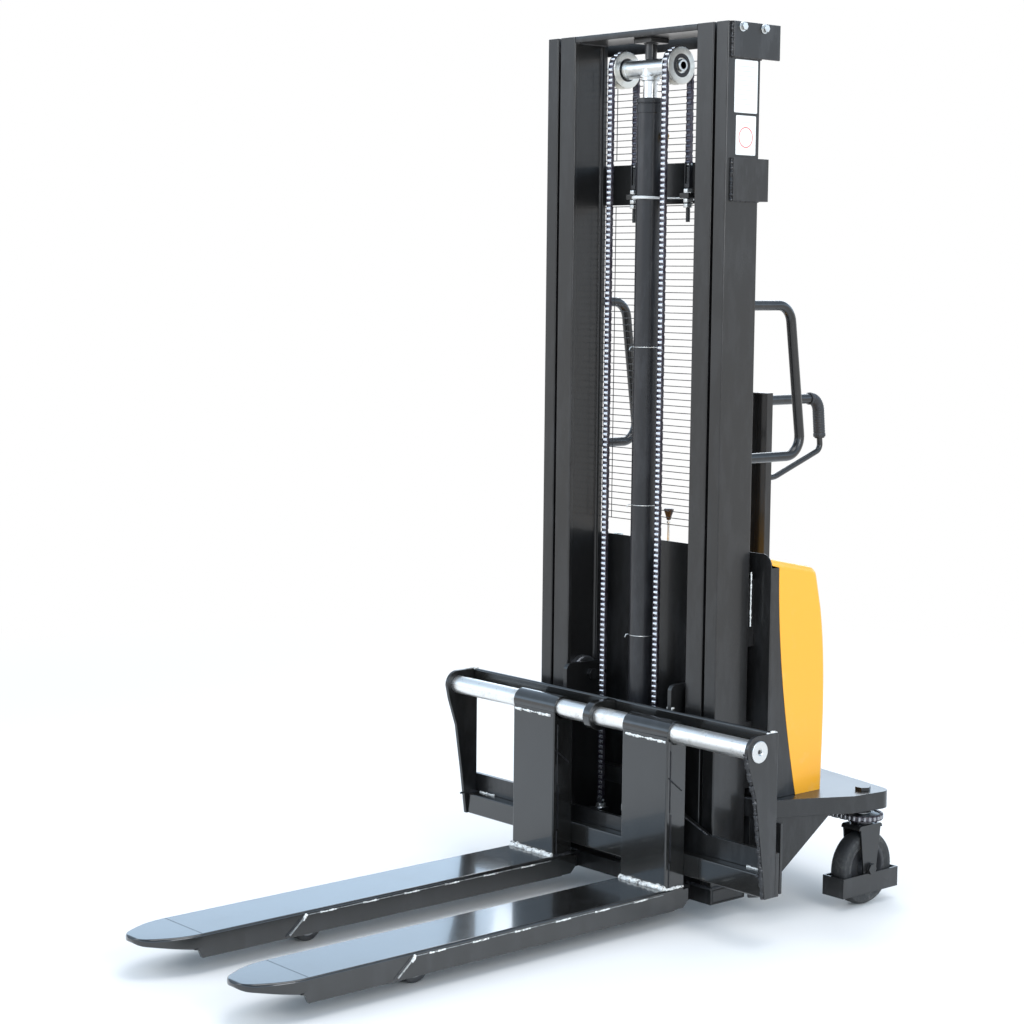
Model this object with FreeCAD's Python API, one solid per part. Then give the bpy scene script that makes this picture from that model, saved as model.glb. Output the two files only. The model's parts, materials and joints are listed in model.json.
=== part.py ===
import FreeCAD, Part
import math
import os

# Walkie stacker: a two-stage mast on a wheeled base, with forks that slide on a round bar.
# Lengths are in millimetres. x runs across the machine, y runs from the front face of the mast
# towards the operator, and z runs up from the floor. save() moves every piece so that the
# origin lies under the middle of the whole machine.

V = FreeCAD.Vector

# ---- clearances and sheet thicknesses ----
slip = 0.5            # side gap between pieces that move past each other
running = 0.05        # radial gap of a shaft in its bearing
seat_gap = 0.3        # gap between a fixed piece and the piece it is fitted around
roller_play = 1.0     # gap between a guide roller and the flanges it runs between
cut_over = 1.0        # how far a cutting block reaches past what it cuts

# ---- mast ----
mast_height = 2080.0
mast_width = 606.0
mast_depth = 110.0
beam_bottom = 37.0    # underside of the foot beam and of the support legs
beam_height = 40.0
beam_wall = 8.0
outer_flange = 48.0
inner_flange = 46.0
flange_thickness = 12.0
web_thickness = 10.0
inner_web = 8.0
mast_gap = 4.0        # gap between the edges of the outer and the inner flanges
inner_lift_off = 18.0  # height of the inner columns over the foot beam
inner_beam_height = 55.0
top_beam_thickness = 15.0
lift_travel = 1450.0  # travel of the inner mast, and of the carriage within it

top_tie_height = 80.0
tie_plate = 8.0
tie_reach = 166.0
tie_bar_height = 35.0
middle_tie_bottom = 1678.0
middle_tie_height = 97.0
middle_tie_reach = 135.0
tie_front = 18.0
top_tie_front = 12.0
tie_bolt_head = 20.0
tie_bolt_drop = 10.0
pin_root = 3.0        # gap between a mast roller and the web its pin stands on
tie_bolt_rows = (40.0, 110.0)

# ---- guide rollers ----
roller_width = 28.0
roller_pin = 25.0
roller_pin_head = 40.0
roller_plate = 12.0
roller_plate_gap = 7.0  # gap between a roller plate and the roller's face
roller_plate_chamfer = 26.0
roller_plate_top = 548.0
upper_roller_z = 516.0
lower_roller_z = 165.0
outer_roller_z = 2025.0
inner_roller_z = 150.0

# ---- lifting cylinder and chains ----
cylinder_y = 56.0
cylinder_tube = 62.0
cylinder_bore = 50.0
rod_guide = 100.0     # length of tube left over the piston at full lift
gland_height = 35.0
gland_diameter = 66.0
foot_block = 80.0
foot_block_height = 30.0
piston_rod = 35.0
piston_length = 40.0
piston_bottom = 300.0
crosshead_tube = 42.0
pulley_z = 1996.0
pulley_x = 91.0
pulley_width = 24.0
pulley_flange = 88.0
chain_circle = 83.0   # diameter that the chain's middle line follows round the pulley
chain_width = 17.0
chain_thickness = 12.0
pulley_pin = 20.0
post_diameter = 28.0
post_cap = 60.0
rear_anchor_z = 1775.0
front_anchor_z = 222.0
anchor_pin = 12.0
anchor_nut = 22.0
anchor_nut_height = 12.0
anchor_lug_thickness = 12.0
anchor_lug_width = 30.0
clamp_width = 8.0
clamp_sheet = 1.5
pin_head = 5.0        # height of the heads on the pulley pins
boss_wall = 2.0
rear_anchor_tail = 56.0
front_anchor_tail = 40.0
clamp_heights = (430.0, 900.0, 1370.0, 1650.0)

# ---- carriage ----
carriage_width = 1056.0
bar_y = -92.0
bar_z = 455.0
bar_diameter = 45.0
side_plate = 10.0
side_plate_lobe = 36.0
carriage_bottom = 112.0
carriage_back = -16.0
back_plate = 12.0
back_plate_top = 213.0
back_plate_shoulder = 268.0
back_plate_middle = 200.0
lower_bar_front = -58.0
lower_bar_top = 165.0
rail_top = 491.0
rail_height = 41.0
collar_diameter = 70.0
collar_width = 24.0
cap_diameter = 50.0
cap_thickness = 5.0

# ---- forks ----
fork_length = 1150.0
fork_reach = 120.0    # from the mast's front face to the front of the upright shank
fork_spread = 549.0
fork_width = 160.0
fork_top = 88.0
fork_bottom = 28.0
fork_plate = 8.0
shank_width = 150.0
shank_plate = 12.0
sleeve_diameter = 57.0
heel_back = -41.0
heel_cut = 17.0
toe_length = 134.0
toe_taper = 120.0
toe_end_width = 96.0
toe_corner = 38.0
toe_bottom = 56.0
toe_nose = 70.0
toe_rise = 6.0        # how far the toe's underside climbs before its nose
toe_nose_length = 40.0
toe_step = 24.0
toe_step_radius = 16.0
shank_drop = 8.0      # height of the bar's middle over the top of the shank

# ---- support legs and load rollers ----
leg_width = 80.0
leg_wall = 8.0
load_roller = 74.0
load_roller_width = 60.0
load_roller_y = -822.0
load_pin = 20.0
leg_cheek = 8.0
leg_cheek_drop = 6.0
roller_clearance = 6.0  # gap between a load roller and the closed end of its leg

# ---- base plate and casters ----
base_depth = 42.0
base_skin = 8.0
base_ear = 47.0       # how far the base reaches past the mast on each side at its front
base_flare = (38.0, 208.0)  # width added to each side of the base, and the y where it is reached
base_side_y = 330.0
base_rear_y = 452.0
base_rear_radius = 34.0
base_side_reach = 31.0  # how far the side edge lies outside the caster's axis
base_rear_reach = 47.0
base_back = ((346.0, 476.0), (210.0, 499.0), (60.0, 535.0))  # rear edge, from its side to its middle
base_nose_radius = 60.0
boss_wall_base = 13.0
caster_x = 421.0
caster_y = 398.0
caster_wheel = 180.0
caster_tread = 46.0
caster_shaft = 24.0
caster_cheek = 4.0
caster_crown = 10.0
crown_clearance = 8.0  # gap between a caster's tyre and its crown
steering_room = 38.0  # height between a caster's crown and the base plate
caster_play = 1.5     # gap on each side of a caster wheel
crown_edge = 8.0
crown_inset = 6.0
cheek_half = 22.0
cheek_foot_half = 20.0
cheek_bend = 10.0
hub_wall = 8.0
tyre_height = 25.0
tyre_edge = 8.0
hub_disc = 12.0
crown_length = 84.0
caster_axle = 16.0
guard_gap = 6.5       # gap between a caster's tyre and its foot guard
guard_bottom = 32.0
guard_height = 48.0
guard_band = 4.0
head_diameter = 34.0
head_height = 9.0
sprocket_rise = 23.0  # height of a sprocket's top over the caster's crown
sprocket_thickness = 9.0
sprocket_diameter = 84.0
steering_chain_height = 12.0
gusset_thickness = 8.0
gusset_end = (-1.0, 281.0)  # its outer end: x from the caster's axis, and y
gusset_toe = 26.0     # width of its lower edge, measured along y

# ---- housing ----
panel_y = 132.0
panel_sheet = 3.0
panel_top = 862.0
panel_corner = 28.0
block_height = 160.0  # height of the spacers behind the mast
block_rise = 22.0     # height of the lower spacers over the base plate
upper_block_z = 640.0
block_inset = 5.0
side_sheet = 8.0
cover_sheet = 4.0
cover_front_top = 852.0
cover_rear_top = (296.0, 819.0)
cover_rear_mid = (320.0, 715.0)
cover_rear_low = (337.0, 515.0)
cover_rear_foot = 333.0
seam_points = ((160.0, 830.0), (166.0, 690.0), (187.0, 513.0))
seam_foot = 234.0
lip_height = 10.0

# ---- guards and side handles ----
wire = 2.0
wire_pitch = 16.0
guard_lap = 7.0       # how far a guard reaches over the outer columns
guard_tab = 5.0
guard_y = 112.0
lower_guard = (905.0, 48)
upper_guard = (1785.0, 14)
guard_columns = (-170.0, 0.0, 170.0)
handle_tube = 24.0
handle_inset = 23.0   # from the outer face of the mast to the handles
handle_top = (254.0, 1440.0)
handle_low = (310.0, 1083.0)
handle_bend = 45.0

# ---- steering tiller ----
tiller_y = 470.0
tiller_width = 54.0
tiller_depth = 21.0
tiller_top = 1215.0
tiller_tube = 26.0
tiller_rod = 15.0
tiller_shaft = 30.0
tiller_tube_z = 1195.0
tiller_bend_y = 682.0
loop_bend = 34.0
loop_lean = 0.1       # how far the outer run leans back for each millimetre down
rod_corner_z = 1062.0
tiller_rod_low = (521.0, 998.0)
grip_diameter = 32.0
grip_start_y = 646.0
grip_bottom = 1092.0

# ---- housing contents ----
battery_size = (300.0, 170.0, 220.0)
motor_diameter = 110.0
motor_length = 190.0
tank_size = (130.0, 150.0, 240.0)
pump_block = 96.0
equipment_x = 250.0
controller_size = (170.0, 45.0, 130.0)
pipe_diameter = 12.0
pipe_bend = 60.0
pipe_x = 162.0
pipe_y = 215.0

# ---- operator controls ----
lever_x = -87.0
lever_y = 230.0
lever_pivot_z = 770.0
lever_pin = 8.0
stem_diameter = 6.0
knob_bottom = 897.0
knob_height = 31.0
knob_top = 26.0
knob_foot = 10.0
lever_slot = 50.0
button_x = -262.0
button_y = 225.0
button_head = 24.0
button_stem = 8.0
button_travel = 6.0

# ---- sizes worked out from the ones above ----
half_mast = mast_width / 2
outer_edge = half_mast - outer_flange
inner_outer = outer_edge - mast_gap
inner_edge = inner_outer - inner_flange
web_x = (inner_edge + inner_outer - inner_web) / 2
beam_top = beam_bottom + beam_height
cylinder_top = piston_bottom + lift_travel + piston_length + rod_guide
inner_bottom = beam_top + inner_lift_off
roller_diameter = mast_depth - 2 * flange_thickness - 2 * roller_play
roller_y = mast_depth / 2
carriage_roller_x = web_x - roller_play - roller_width
roller_plate_x = carriage_roller_x - roller_plate_gap - roller_plate
guard_half = outer_edge + guard_lap
handle_x = half_mast - handle_inset
housing_half = half_mast + base_ear
guard_length = caster_wheel + 2 * (guard_gap + guard_band)
half_carriage = carriage_width / 2
plate_inside = half_carriage - side_plate
fork_x = (fork_spread - fork_width) / 2
fork_tip = -(fork_reach + fork_length)
half_fork = fork_width / 2
half_shank = shank_width / 2
rail_front = carriage_back - 2 * back_plate
grip_back = tiller_bend_y + loop_lean * (tiller_tube_z - grip_bottom - 3) + grip_diameter / 2
origin_shift = -(fork_tip + grip_back) / 2
axle_z = caster_wheel / 2
caster_crown_top = caster_wheel + crown_clearance + caster_crown
sprocket_top = caster_crown_top + sprocket_rise
base_bottom = caster_crown_top + steering_room
base_top = base_bottom + base_depth
seam = seam_points + ((seam_foot, base_top),)
rear_lug_z = middle_tie_bottom + flange_thickness
front_lug_z = front_anchor_z - anchor_lug_thickness - 2 * anchor_nut_height
tiller_x = tiller_width / 2


def save(node, *solids):
    """Write the solids of one named piece, moved to the machine's own origin."""
    group = Part.makeCompound(list(solids))
    group.translate(V(0, origin_shift, 0))
    group.exportStep("parts/" + node + ".step")


def box(x0, x1, y0, y1, z0, z1):
    """A block between two corners."""
    return Part.makeBox(x1 - x0, y1 - y0, z1 - z0, V(x0, y0, z0))


def bar_x(diameter, x0, x1, y, z):
    """A round bar along x."""
    return Part.makeCylinder(diameter / 2, x1 - x0, V(x0, y, z), V(1, 0, 0))


def bar_z_axis(diameter, x, y, z0, z1):
    """An upright round bar."""
    return Part.makeCylinder(diameter / 2, z1 - z0, V(x, y, z0), V(0, 0, 1))


def cone_z(d0, d1, x, y, z0, z1):
    """An upright cone between two diameters."""
    return Part.makeCone(d0 / 2, d1 / 2, z1 - z0, V(x, y, z0), V(0, 0, 1))


def hexagon_z(width, x, y, z0, z1):
    """An upright hexagonal nut or bolt head."""
    radius = width / math.sqrt(3)
    corners = [(x + radius * math.cos(math.radians(60 * i)), y + radius * math.sin(math.radians(60 * i)))
               for i in range(6)]
    return plate_xy(corners, z0, z1)


def hexagon_x(width, x0, x1, y, z):
    """A hexagonal bolt head that faces along x."""
    radius = width / math.sqrt(3)
    corners = [(y + radius * math.cos(math.radians(60 * i)), z + radius * math.sin(math.radians(60 * i)))
               for i in range(6)]
    return plate_yz(corners, x0, x1)


def mirrored(shape):
    """The same shape on the other side of the machine."""
    return shape.mirror(V(0, 0, 0), V(1, 0, 0))


def pair(shape):
    """A shape and its mirror image."""
    return [shape, mirrored(shape)]


def moved(shape, x=0.0, y=0.0, z=0.0):
    """A copy of a shape moved by the given distances."""
    copy = shape.copy()
    copy.translate(V(x, y, z))
    return copy


def corner_arc(before, corner, after, radius):
    """The three points of a tangent arc that rounds one corner."""
    to_before = (before - corner).normalize()
    to_after = (after - corner).normalize()
    half = to_before.getAngle(to_after) / 2
    length = radius / math.tan(half)
    bisector = (to_before + to_after).normalize()
    middle = corner + bisector * (radius / math.sin(half) - radius)
    return corner + to_before * length, middle, corner + to_after * length


def edges_of(points, place, closed):
    """Straight edges through (u, v) points, with an arc at each (u, v, radius) point."""
    corners = [place(p[0], p[1]) for p in points]
    count = len(points)
    stops = []
    for i, point in enumerate(points):
        if len(point) == 3:
            stops.append(corner_arc(corners[i - 1], corners[i], corners[(i + 1) % count], point[2]))
        else:
            stops.append((corners[i],))
    edges = []
    for i, stop in enumerate(stops):
        if len(stop) == 3:
            edges.append(Part.Arc(*stop).toShape())
        if i + 1 < count or closed:
            start, end = stop[-1], stops[(i + 1) % count][0]
            if start.distanceToPoint(end) > 1e-6:
                edges.append(Part.LineSegment(start, end).toShape())
    return edges


def plate_yz(points, x0, x1):
    """A plate whose outline lies in the y-z plane, between two x."""
    face = Part.Face(Part.Wire(edges_of(points, lambda u, v: V(x0, u, v), True)))
    return face.extrude(V(x1 - x0, 0, 0))


def plate_xy(points, z0, z1):
    """A plate whose outline lies in the x-y plane, between two z."""
    face = Part.Face(Part.Wire(edges_of(points, lambda u, v: V(u, v, z0), True)))
    return face.extrude(V(0, 0, z1 - z0))


def plate_xz(points, y0, y1):
    """A plate whose outline lies in the x-z plane, between two y."""
    face = Part.Face(Part.Wire(edges_of(points, lambda u, v: V(u, y0, v), True)))
    return face.extrude(V(0, y1 - y0, 0))


def both_sides(half):
    """A closed outline from the points of its right half."""
    return list(half) + [(-p[0],) + tuple(p[1:]) for p in reversed(half)]


def bent_tube(points, place, diameter):
    """A round tube along straight runs joined by tangent arcs."""
    path = Part.Wire(edges_of(points, place, False))
    start = place(points[0][0], points[0][1])
    heading = place(points[1][0], points[1][1]) - start
    section = Part.Wire(Part.Circle(start, heading, diameter / 2).toShape())
    return path.makePipeShell([section], True, True)


def ring_x(outer, inner, x0, x1, y, z):
    """A ring whose axis lies along x."""
    return bar_x(outer, x0, x1, y, z).cut(bar_x(inner, x0 - 1, x1 + 1, y, z))


# ---------------------------------------------------------------- mast

def outer_columns():
    """The two fixed channels, open towards each other."""
    channel = box(outer_edge, half_mast, 0, mast_depth, beam_top, mast_height)
    hollow = box(outer_edge - 1, half_mast - web_thickness, flange_thickness,
                 mast_depth - flange_thickness, beam_top - 1, mast_height + 1)
    pin = bar_x(roller_pin, web_x + inner_web + pin_root, half_mast - web_thickness, roller_y, outer_roller_z)
    return channel.cut(hollow).fuse(pin)


def inner_columns():
    """The two rising I sections that nest beside the outer flanges."""
    section = box(inner_edge, inner_outer, 0, mast_depth, inner_bottom, mast_height)
    for x0, x1 in ((inner_edge - 1, web_x), (web_x + inner_web, inner_outer + 1)):
        section = section.cut(box(x0, x1, flange_thickness, mast_depth - flange_thickness,
                                  inner_bottom - 1, mast_height + 1))
    pin_end = half_mast - web_thickness - 2 * roller_play
    pin = bar_x(roller_pin, web_x + inner_web, pin_end, roller_y, inner_roller_z)
    return section.fuse(pin)


def guide_roller(x0, z):
    """One steel guide roller on its pin."""
    return ring_x(roller_diameter, roller_pin + 2 * running, x0, x0 + roller_width, roller_y, z)


def mast():
    """Columns, ties, beams and guide rollers of both mast stages."""
    for side, shape in zip(("right", "left"), pair(outer_columns())):
        save("outer_column_" + side, shape)
    for side, shape in zip(("right", "left"), pair(inner_columns())):
        save("inner_column_" + side, shape)
    save("outer_mast_rollers", *pair(guide_roller(web_x + inner_web + pin_root, outer_roller_z)))
    save("inner_mast_rollers", *pair(guide_roller(outer_edge + pin_root, inner_roller_z)))

    outside = half_mast + tie_plate
    tie_bottom = mast_height - top_tie_height
    cheek = box(half_mast, outside, top_tie_front, tie_reach, tie_bottom, mast_height)
    back = box(-outside, outside, tie_reach - tie_plate, tie_reach, mast_height - tie_bar_height, mast_height)
    save("top_tie", back.fuse(pair(cheek)))

    middle_top = middle_tie_bottom + middle_tie_height
    cheek = box(half_mast, outside, tie_front, middle_tie_reach, middle_tie_bottom, middle_top)
    back = box(-outside, outside, middle_tie_reach - flange_thickness, middle_tie_reach,
               middle_tie_bottom, middle_top)
    lug_back = middle_tie_reach - flange_thickness
    lug = anchor_lug(rear_chain_y - anchor_lug_width / 2, lug_back, rear_lug_z, rear_chain_y)
    save("middle_tie", back.fuse(pair(cheek)).fuse(pair(lug)))

    beam = box(-half_mast, half_mast, 0, mast_depth + 6, beam_bottom, beam_top)
    hollow = box(-half_mast - 1, half_mast + 1, beam_wall, mast_depth + 6 - beam_wall,
                 beam_bottom + beam_wall, beam_top - beam_wall)
    save("foot_beam", beam.cut(hollow))

    heads = [hexagon_x(tie_bolt_head, outside, outside + tie_plate, y, mast_height - tie_bolt_drop)
             for y in tie_bolt_rows]
    save("tie_bolts", *[s for head in heads for s in pair(head)])

    top_beam = box(-inner_edge, inner_edge, 0, mast_depth, mast_height - top_beam_thickness, mast_height)
    save("inner_top_beam", top_beam)
    low_beam = box(-inner_edge, inner_edge, mast_depth - flange_thickness, mast_depth,
                   inner_bottom, inner_bottom + inner_beam_height)
    save("inner_lower_beam", low_beam)


# ---------------------------------------------------------------- cylinder, pulleys and chains

front_chain_y = cylinder_y - chain_circle / 2
rear_chain_y = cylinder_y + chain_circle / 2
half_chain = chain_width / 2
half_link = chain_thickness / 2


def anchor_lug(y0, y1, z0, chain_y):
    """A lug plate that holds one chain anchor, with a hole for its threaded pin."""
    half = anchor_lug_width / 2
    plate = box(pulley_x - half, pulley_x + half, y0, y1, z0, z0 + anchor_lug_thickness)
    return plate.cut(bar_z_axis(anchor_pin + 2 * slip, pulley_x, chain_y, z0 - 1,
                                z0 + anchor_lug_thickness + 1))


def chain_anchor(chain_y, top, lug_z, tail):
    """A clevis on a threaded pin, with a nut above and two below its lug."""
    lug_top = lug_z + anchor_lug_thickness
    clevis = box(pulley_x - half_chain, pulley_x + half_chain, chain_y - half_link - 2,
                 chain_y + half_link + 2, lug_top + anchor_nut_height, top)
    pin = bar_z_axis(anchor_pin, pulley_x, chain_y, lug_z - tail, lug_top + anchor_nut_height + 2)
    upper = hexagon_z(anchor_nut, pulley_x, chain_y, lug_top, lug_top + anchor_nut_height)
    lower = hexagon_z(anchor_nut, pulley_x, chain_y, lug_z - 2 * anchor_nut_height, lug_z)
    return clevis.fuse([pin, upper, lower])


def chain_run(y, z0):
    """One straight run of chain as a plain block."""
    return box(pulley_x - half_chain, pulley_x + half_chain, y - half_link, y + half_link, z0, pulley_z)


def lift_drive():
    """The cylinder with its rod, the crosshead, the pulleys and the chains."""
    tube = bar_z_axis(cylinder_tube, 0, cylinder_y, beam_top + foot_block_height, cylinder_top)
    bore_bottom = piston_bottom - 2 * foot_block_height
    tube = tube.cut(bar_z_axis(cylinder_bore, 0, cylinder_y, bore_bottom, cylinder_top + cut_over))
    gland = bar_z_axis(gland_diameter, 0, cylinder_y, cylinder_top, cylinder_top + gland_height)
    gland = gland.cut(bar_z_axis(piston_rod + 2 * running, 0, cylinder_y, cylinder_top - 1,
                                 cylinder_top + gland_height + 1))
    half = foot_block / 2
    block = box(-half, half, cylinder_y - half, cylinder_y + half, beam_top, beam_top + foot_block_height)
    outer = cylinder_tube + 2 * clamp_sheet
    bands = [bar_z_axis(outer, 0, cylinder_y, z, z + clamp_width)
             .cut(bar_z_axis(cylinder_tube + 2 * running, 0, cylinder_y, z - 1, z + clamp_width + 1))
             for z in clamp_heights]
    save("lift_cylinder", tube, block, gland, *bands)

    boss_bottom = pulley_z - crosshead_tube / 2 - 2 * pin_head
    rod = bar_z_axis(piston_rod, 0, cylinder_y, piston_bottom, boss_bottom)
    head = bar_z_axis(cylinder_bore - 2 * running, 0, cylinder_y, piston_bottom,
                      piston_bottom + piston_length)
    save("piston_rod", rod.fuse(head))

    tube_end = pulley_x - pulley_width / 2 - slip
    pin_end = pulley_x + pulley_width / 2 + slip
    cross = bar_x(crosshead_tube, -tube_end, tube_end, cylinder_y, pulley_z)
    boss = bar_z_axis(piston_rod + 2 * boss_wall, 0, cylinder_y, boss_bottom, pulley_z)
    pins = bar_x(pulley_pin, -pin_end, pin_end, cylinder_y, pulley_z)
    heads = pair(bar_x(pulley_pin + 2 * pin_head, pin_end, pin_end + pin_head, cylinder_y, pulley_z))
    cap_z = mast_height - top_beam_thickness - flange_thickness
    half_cap = post_cap / 2
    post = bar_z_axis(post_diameter, 0, cylinder_y, pulley_z + crosshead_tube / 2, cap_z)
    cap = box(-half_cap, half_cap, cylinder_y - half_cap, cylinder_y + half_cap,
              cap_z, mast_height - top_beam_thickness)
    save("crosshead", cross.fuse([boss, pins] + heads), post.fuse(cap))

    root = chain_circle - chain_thickness - 2 * seat_gap
    half_pulley = pulley_width / 2
    x0, x1 = pulley_x - half_pulley, pulley_x + half_pulley
    wheel = bar_x(pulley_flange, x0, x1, cylinder_y, pulley_z)
    groove = ring_x(pulley_flange + 2, root, pulley_x - half_chain - slip, pulley_x + half_chain + slip,
                    cylinder_y, pulley_z)
    bore = bar_x(pulley_pin + 2 * running, x0 - 1, x1 + 1, cylinder_y, pulley_z)
    save("chain_pulleys", *pair(wheel.cut(groove).cut(bore)))

    wrap = ring_x(chain_circle + chain_thickness, chain_circle - chain_thickness,
                  pulley_x - half_chain, pulley_x + half_chain, cylinder_y, pulley_z)
    below = box(0, half_mast, -mast_depth, 2 * mast_depth, pulley_z - pulley_flange, pulley_z)
    save("chain_wraps", *pair(wrap.cut(below)))
    save("front_chain_runs", *pair(chain_run(front_chain_y, front_anchor_z)))
    save("rear_chain_runs", *pair(chain_run(rear_chain_y, rear_anchor_z)))
    save("rear_chain_anchors",
         *pair(chain_anchor(rear_chain_y, rear_anchor_z, rear_lug_z, rear_anchor_tail)))
    save("front_chain_anchors",
         *pair(chain_anchor(front_chain_y, front_anchor_z, front_lug_z, front_anchor_tail)))


# ---------------------------------------------------------------- carriage

def carriage():
    """The frame that climbs the inner mast and carries the fork bar."""
    lobe_front = bar_y - side_plate_lobe
    lobe_top = bar_z + side_plate_lobe
    cheek = [(lower_bar_front - 4, carriage_bottom), (lower_bar_front - 20, carriage_bottom + 119),
             (bar_y - 4, bar_z - 107), (lobe_front + 8, bar_z - 36), (lobe_front, bar_z),
             (lobe_front, lobe_top, side_plate_lobe - 1),
             (carriage_back - back_plate, lobe_top), (carriage_back - back_plate, carriage_bottom)]
    save("carriage_side_plates", *pair(plate_yz(cheek, plate_inside, half_carriage)))
    save("fork_bar", bar_x(bar_diameter, -plate_inside, plate_inside, bar_y, bar_z))
    cap = bar_x(cap_diameter, half_carriage, half_carriage + cap_thickness, bar_y, bar_z)
    socket = bar_x(14, half_carriage + 1, half_carriage + cap_thickness + 1, bar_y, bar_z)
    half = collar_width / 2
    ring = bar_x(collar_diameter, -half, half, bar_y, bar_z)
    arm = box(-half, half, bar_y, rail_front, bar_z, bar_z + collar_diameter / 2)
    bore = bar_x(bar_diameter + 2 * seat_gap, -half - 1, half + 1, bar_y, bar_z)
    save("bar_fittings", ring.fuse(arm).cut(bore), *pair(cap.cut(socket)))

    back_y = carriage_back - back_plate
    save("carriage_top_rail", box(-plate_inside, plate_inside, rail_front, back_y,
                                  rail_top - rail_height, rail_top))
    save("carriage_lower_bar", box(-plate_inside, plate_inside, lower_bar_front, back_y,
                                   carriage_bottom, lower_bar_top))
    inner_slope = roller_plate_x - roller_plate_chamfer
    back = [(half_carriage, carriage_bottom), (half_carriage, back_plate_top),
            (half_mast + 12, back_plate_top), (inner_edge + 21, back_plate_shoulder - 18),
            (roller_plate_x + roller_plate, back_plate_shoulder), (roller_plate_x, back_plate_shoulder),
            (inner_slope, back_plate_middle)]
    lug = anchor_lug(carriage_back, front_chain_y + anchor_lug_width / 2, front_lug_z, front_chain_y)
    save("carriage_back_plate", plate_xz(both_sides(back), back_y, carriage_back), *pair(lug))

    plate_rear = mast_depth - flange_thickness - 12
    cheek = [(carriage_back, carriage_bottom), (plate_rear, carriage_bottom),
             (plate_rear, roller_plate_top, 12), (back_y, roller_plate_top, 16),
             (back_y, back_plate_shoulder), (carriage_back, back_plate_shoulder)]
    x1 = roller_plate_x + roller_plate
    plate = plate_yz(cheek, roller_plate_x, x1)
    roller_x = carriage_roller_x
    for z in (upper_roller_z, lower_roller_z):
        plate = plate.fuse(bar_x(roller_pin, x1, roller_x + roller_width, roller_y, z))
        plate = plate.fuse(bar_x(roller_pin_head, x1, roller_x - slip, roller_y, z))
        plate = plate.fuse(hexagon_x(roller_pin, roller_plate_x - 10, roller_plate_x, roller_y, z))
    save("roller_plates", *pair(plate))
    save("upper_carriage_rollers", *pair(guide_roller(roller_x, upper_roller_z)))
    save("lower_carriage_rollers", *pair(guide_roller(roller_x, lower_roller_z)))


# ---------------------------------------------------------------- forks

def fork():
    """One fork: the sleeve on the bar, the upright shank, the blade and its toe."""
    sleeve = ring_x(sleeve_diameter, bar_diameter + 2 * running, fork_x - half_shank,
                    fork_x + half_shank, bar_y, bar_z)
    left, right = fork_x - half_fork, fork_x + half_fork
    shank_top = bar_z - shank_drop
    shank_left, shank_right = fork_x - half_shank, fork_x + half_shank
    shank_front = -fork_reach
    skirt_top = fork_top - fork_plate
    front = box(shank_left, shank_right, shank_front, shank_front + shank_plate, skirt_top, shank_top)
    front = front.cut(bar_x(sleeve_diameter + running, shank_left - 1, shank_right + 1, bar_y, bar_z))
    web_front = shank_front + shank_plate
    web_back = lower_bar_front - slip
    webs = []
    for x0, x1 in ((shank_left, shank_left + fork_plate), (shank_right - fork_plate, shank_right)):
        web = box(x0, x1, web_front, web_back, fork_top, shank_top)
        webs.append(web.cut(bar_x(sleeve_diameter + running, x0 - 1, x1 + 1, bar_y, bar_z)))
    skirt_start = fork_tip + toe_length
    top_plate = box(left, right, skirt_start, shank_front, skirt_top, fork_top)
    heel_plate = box(left, right, web_front, web_back, skirt_top, fork_top)
    skirts = []
    side = [(skirt_start, fork_bottom), (heel_back - heel_cut, fork_bottom),
            (heel_back, fork_bottom + heel_cut), (heel_back, skirt_top), (skirt_start, skirt_top)]
    for x0, x1 in ((left, left + fork_plate), (right - fork_plate, right)):
        skirts.append(plate_yz(side, x0, x1))
    return [sleeve, front, top_plate, heel_plate, toe()] + webs + skirts


def toe():
    """The solid tapered toe of one fork."""
    half_end = toe_end_width / 2
    start = fork_tip + toe_length
    taper = fork_tip + toe_taper
    plan = [(fork_x + half_fork, start), (fork_x + half_fork, taper),
            (fork_x + half_end, fork_tip, toe_corner), (fork_x - half_end, fork_tip, toe_corner),
            (fork_x - half_fork, taper), (fork_x - half_fork, start)]
    block = plate_xy(plan, fork_bottom, fork_top)
    side = [(start, fork_bottom), (start, fork_top), (fork_tip, fork_top), (fork_tip, toe_nose),
            (fork_tip + toe_nose_length, toe_bottom + toe_rise),
            (start - toe_step, toe_bottom, toe_step_radius),
            (start - 2 * cut_over, fork_bottom)]
    return block.common(plate_yz(side, fork_x - fork_width, fork_x + fork_width))


def forks():
    """Both forks, each in its own node."""
    pieces = fork()
    save("fork_right", *pieces)
    save("fork_left", *[mirrored(piece) for piece in pieces])


# ---------------------------------------------------------------- legs and load rollers

def legs():
    """The two support legs inside the fork channels, with their load rollers."""
    half = leg_width / 2
    closed_end = load_roller_y + load_roller / 2 + roller_clearance
    tip = load_roller_y - load_roller / 2 + leg_cheek
    leg = box(fork_x - half, fork_x + half, closed_end, 0, beam_bottom, beam_top)
    hollow = box(fork_x - half + leg_wall, fork_x + half - leg_wall, closed_end + leg_wall, 1,
                 beam_bottom + leg_wall, beam_top - leg_wall)
    leg = leg.cut(hollow)
    for x0 in (fork_x - half, fork_x + half - leg_cheek):
        leg = leg.fuse(box(x0, x0 + leg_cheek, tip, closed_end, beam_bottom, beam_top - leg_cheek_drop))
    pin = bar_x(load_pin, fork_x - half, fork_x + half, load_roller_y, load_roller / 2)
    leg = leg.fuse(pin)
    half_roller = load_roller_width / 2
    roller = ring_x(load_roller, load_pin + 2 * running, fork_x - half_roller, fork_x + half_roller,
                    load_roller_y, load_roller / 2)
    for side, shape in zip(("right", "left"), pair(leg)):
        save("support_leg_" + side, shape)
    for side, shape in zip(("right", "left"), pair(roller)):
        save("load_roller_" + side, shape)


# ---------------------------------------------------------------- base and casters

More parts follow.
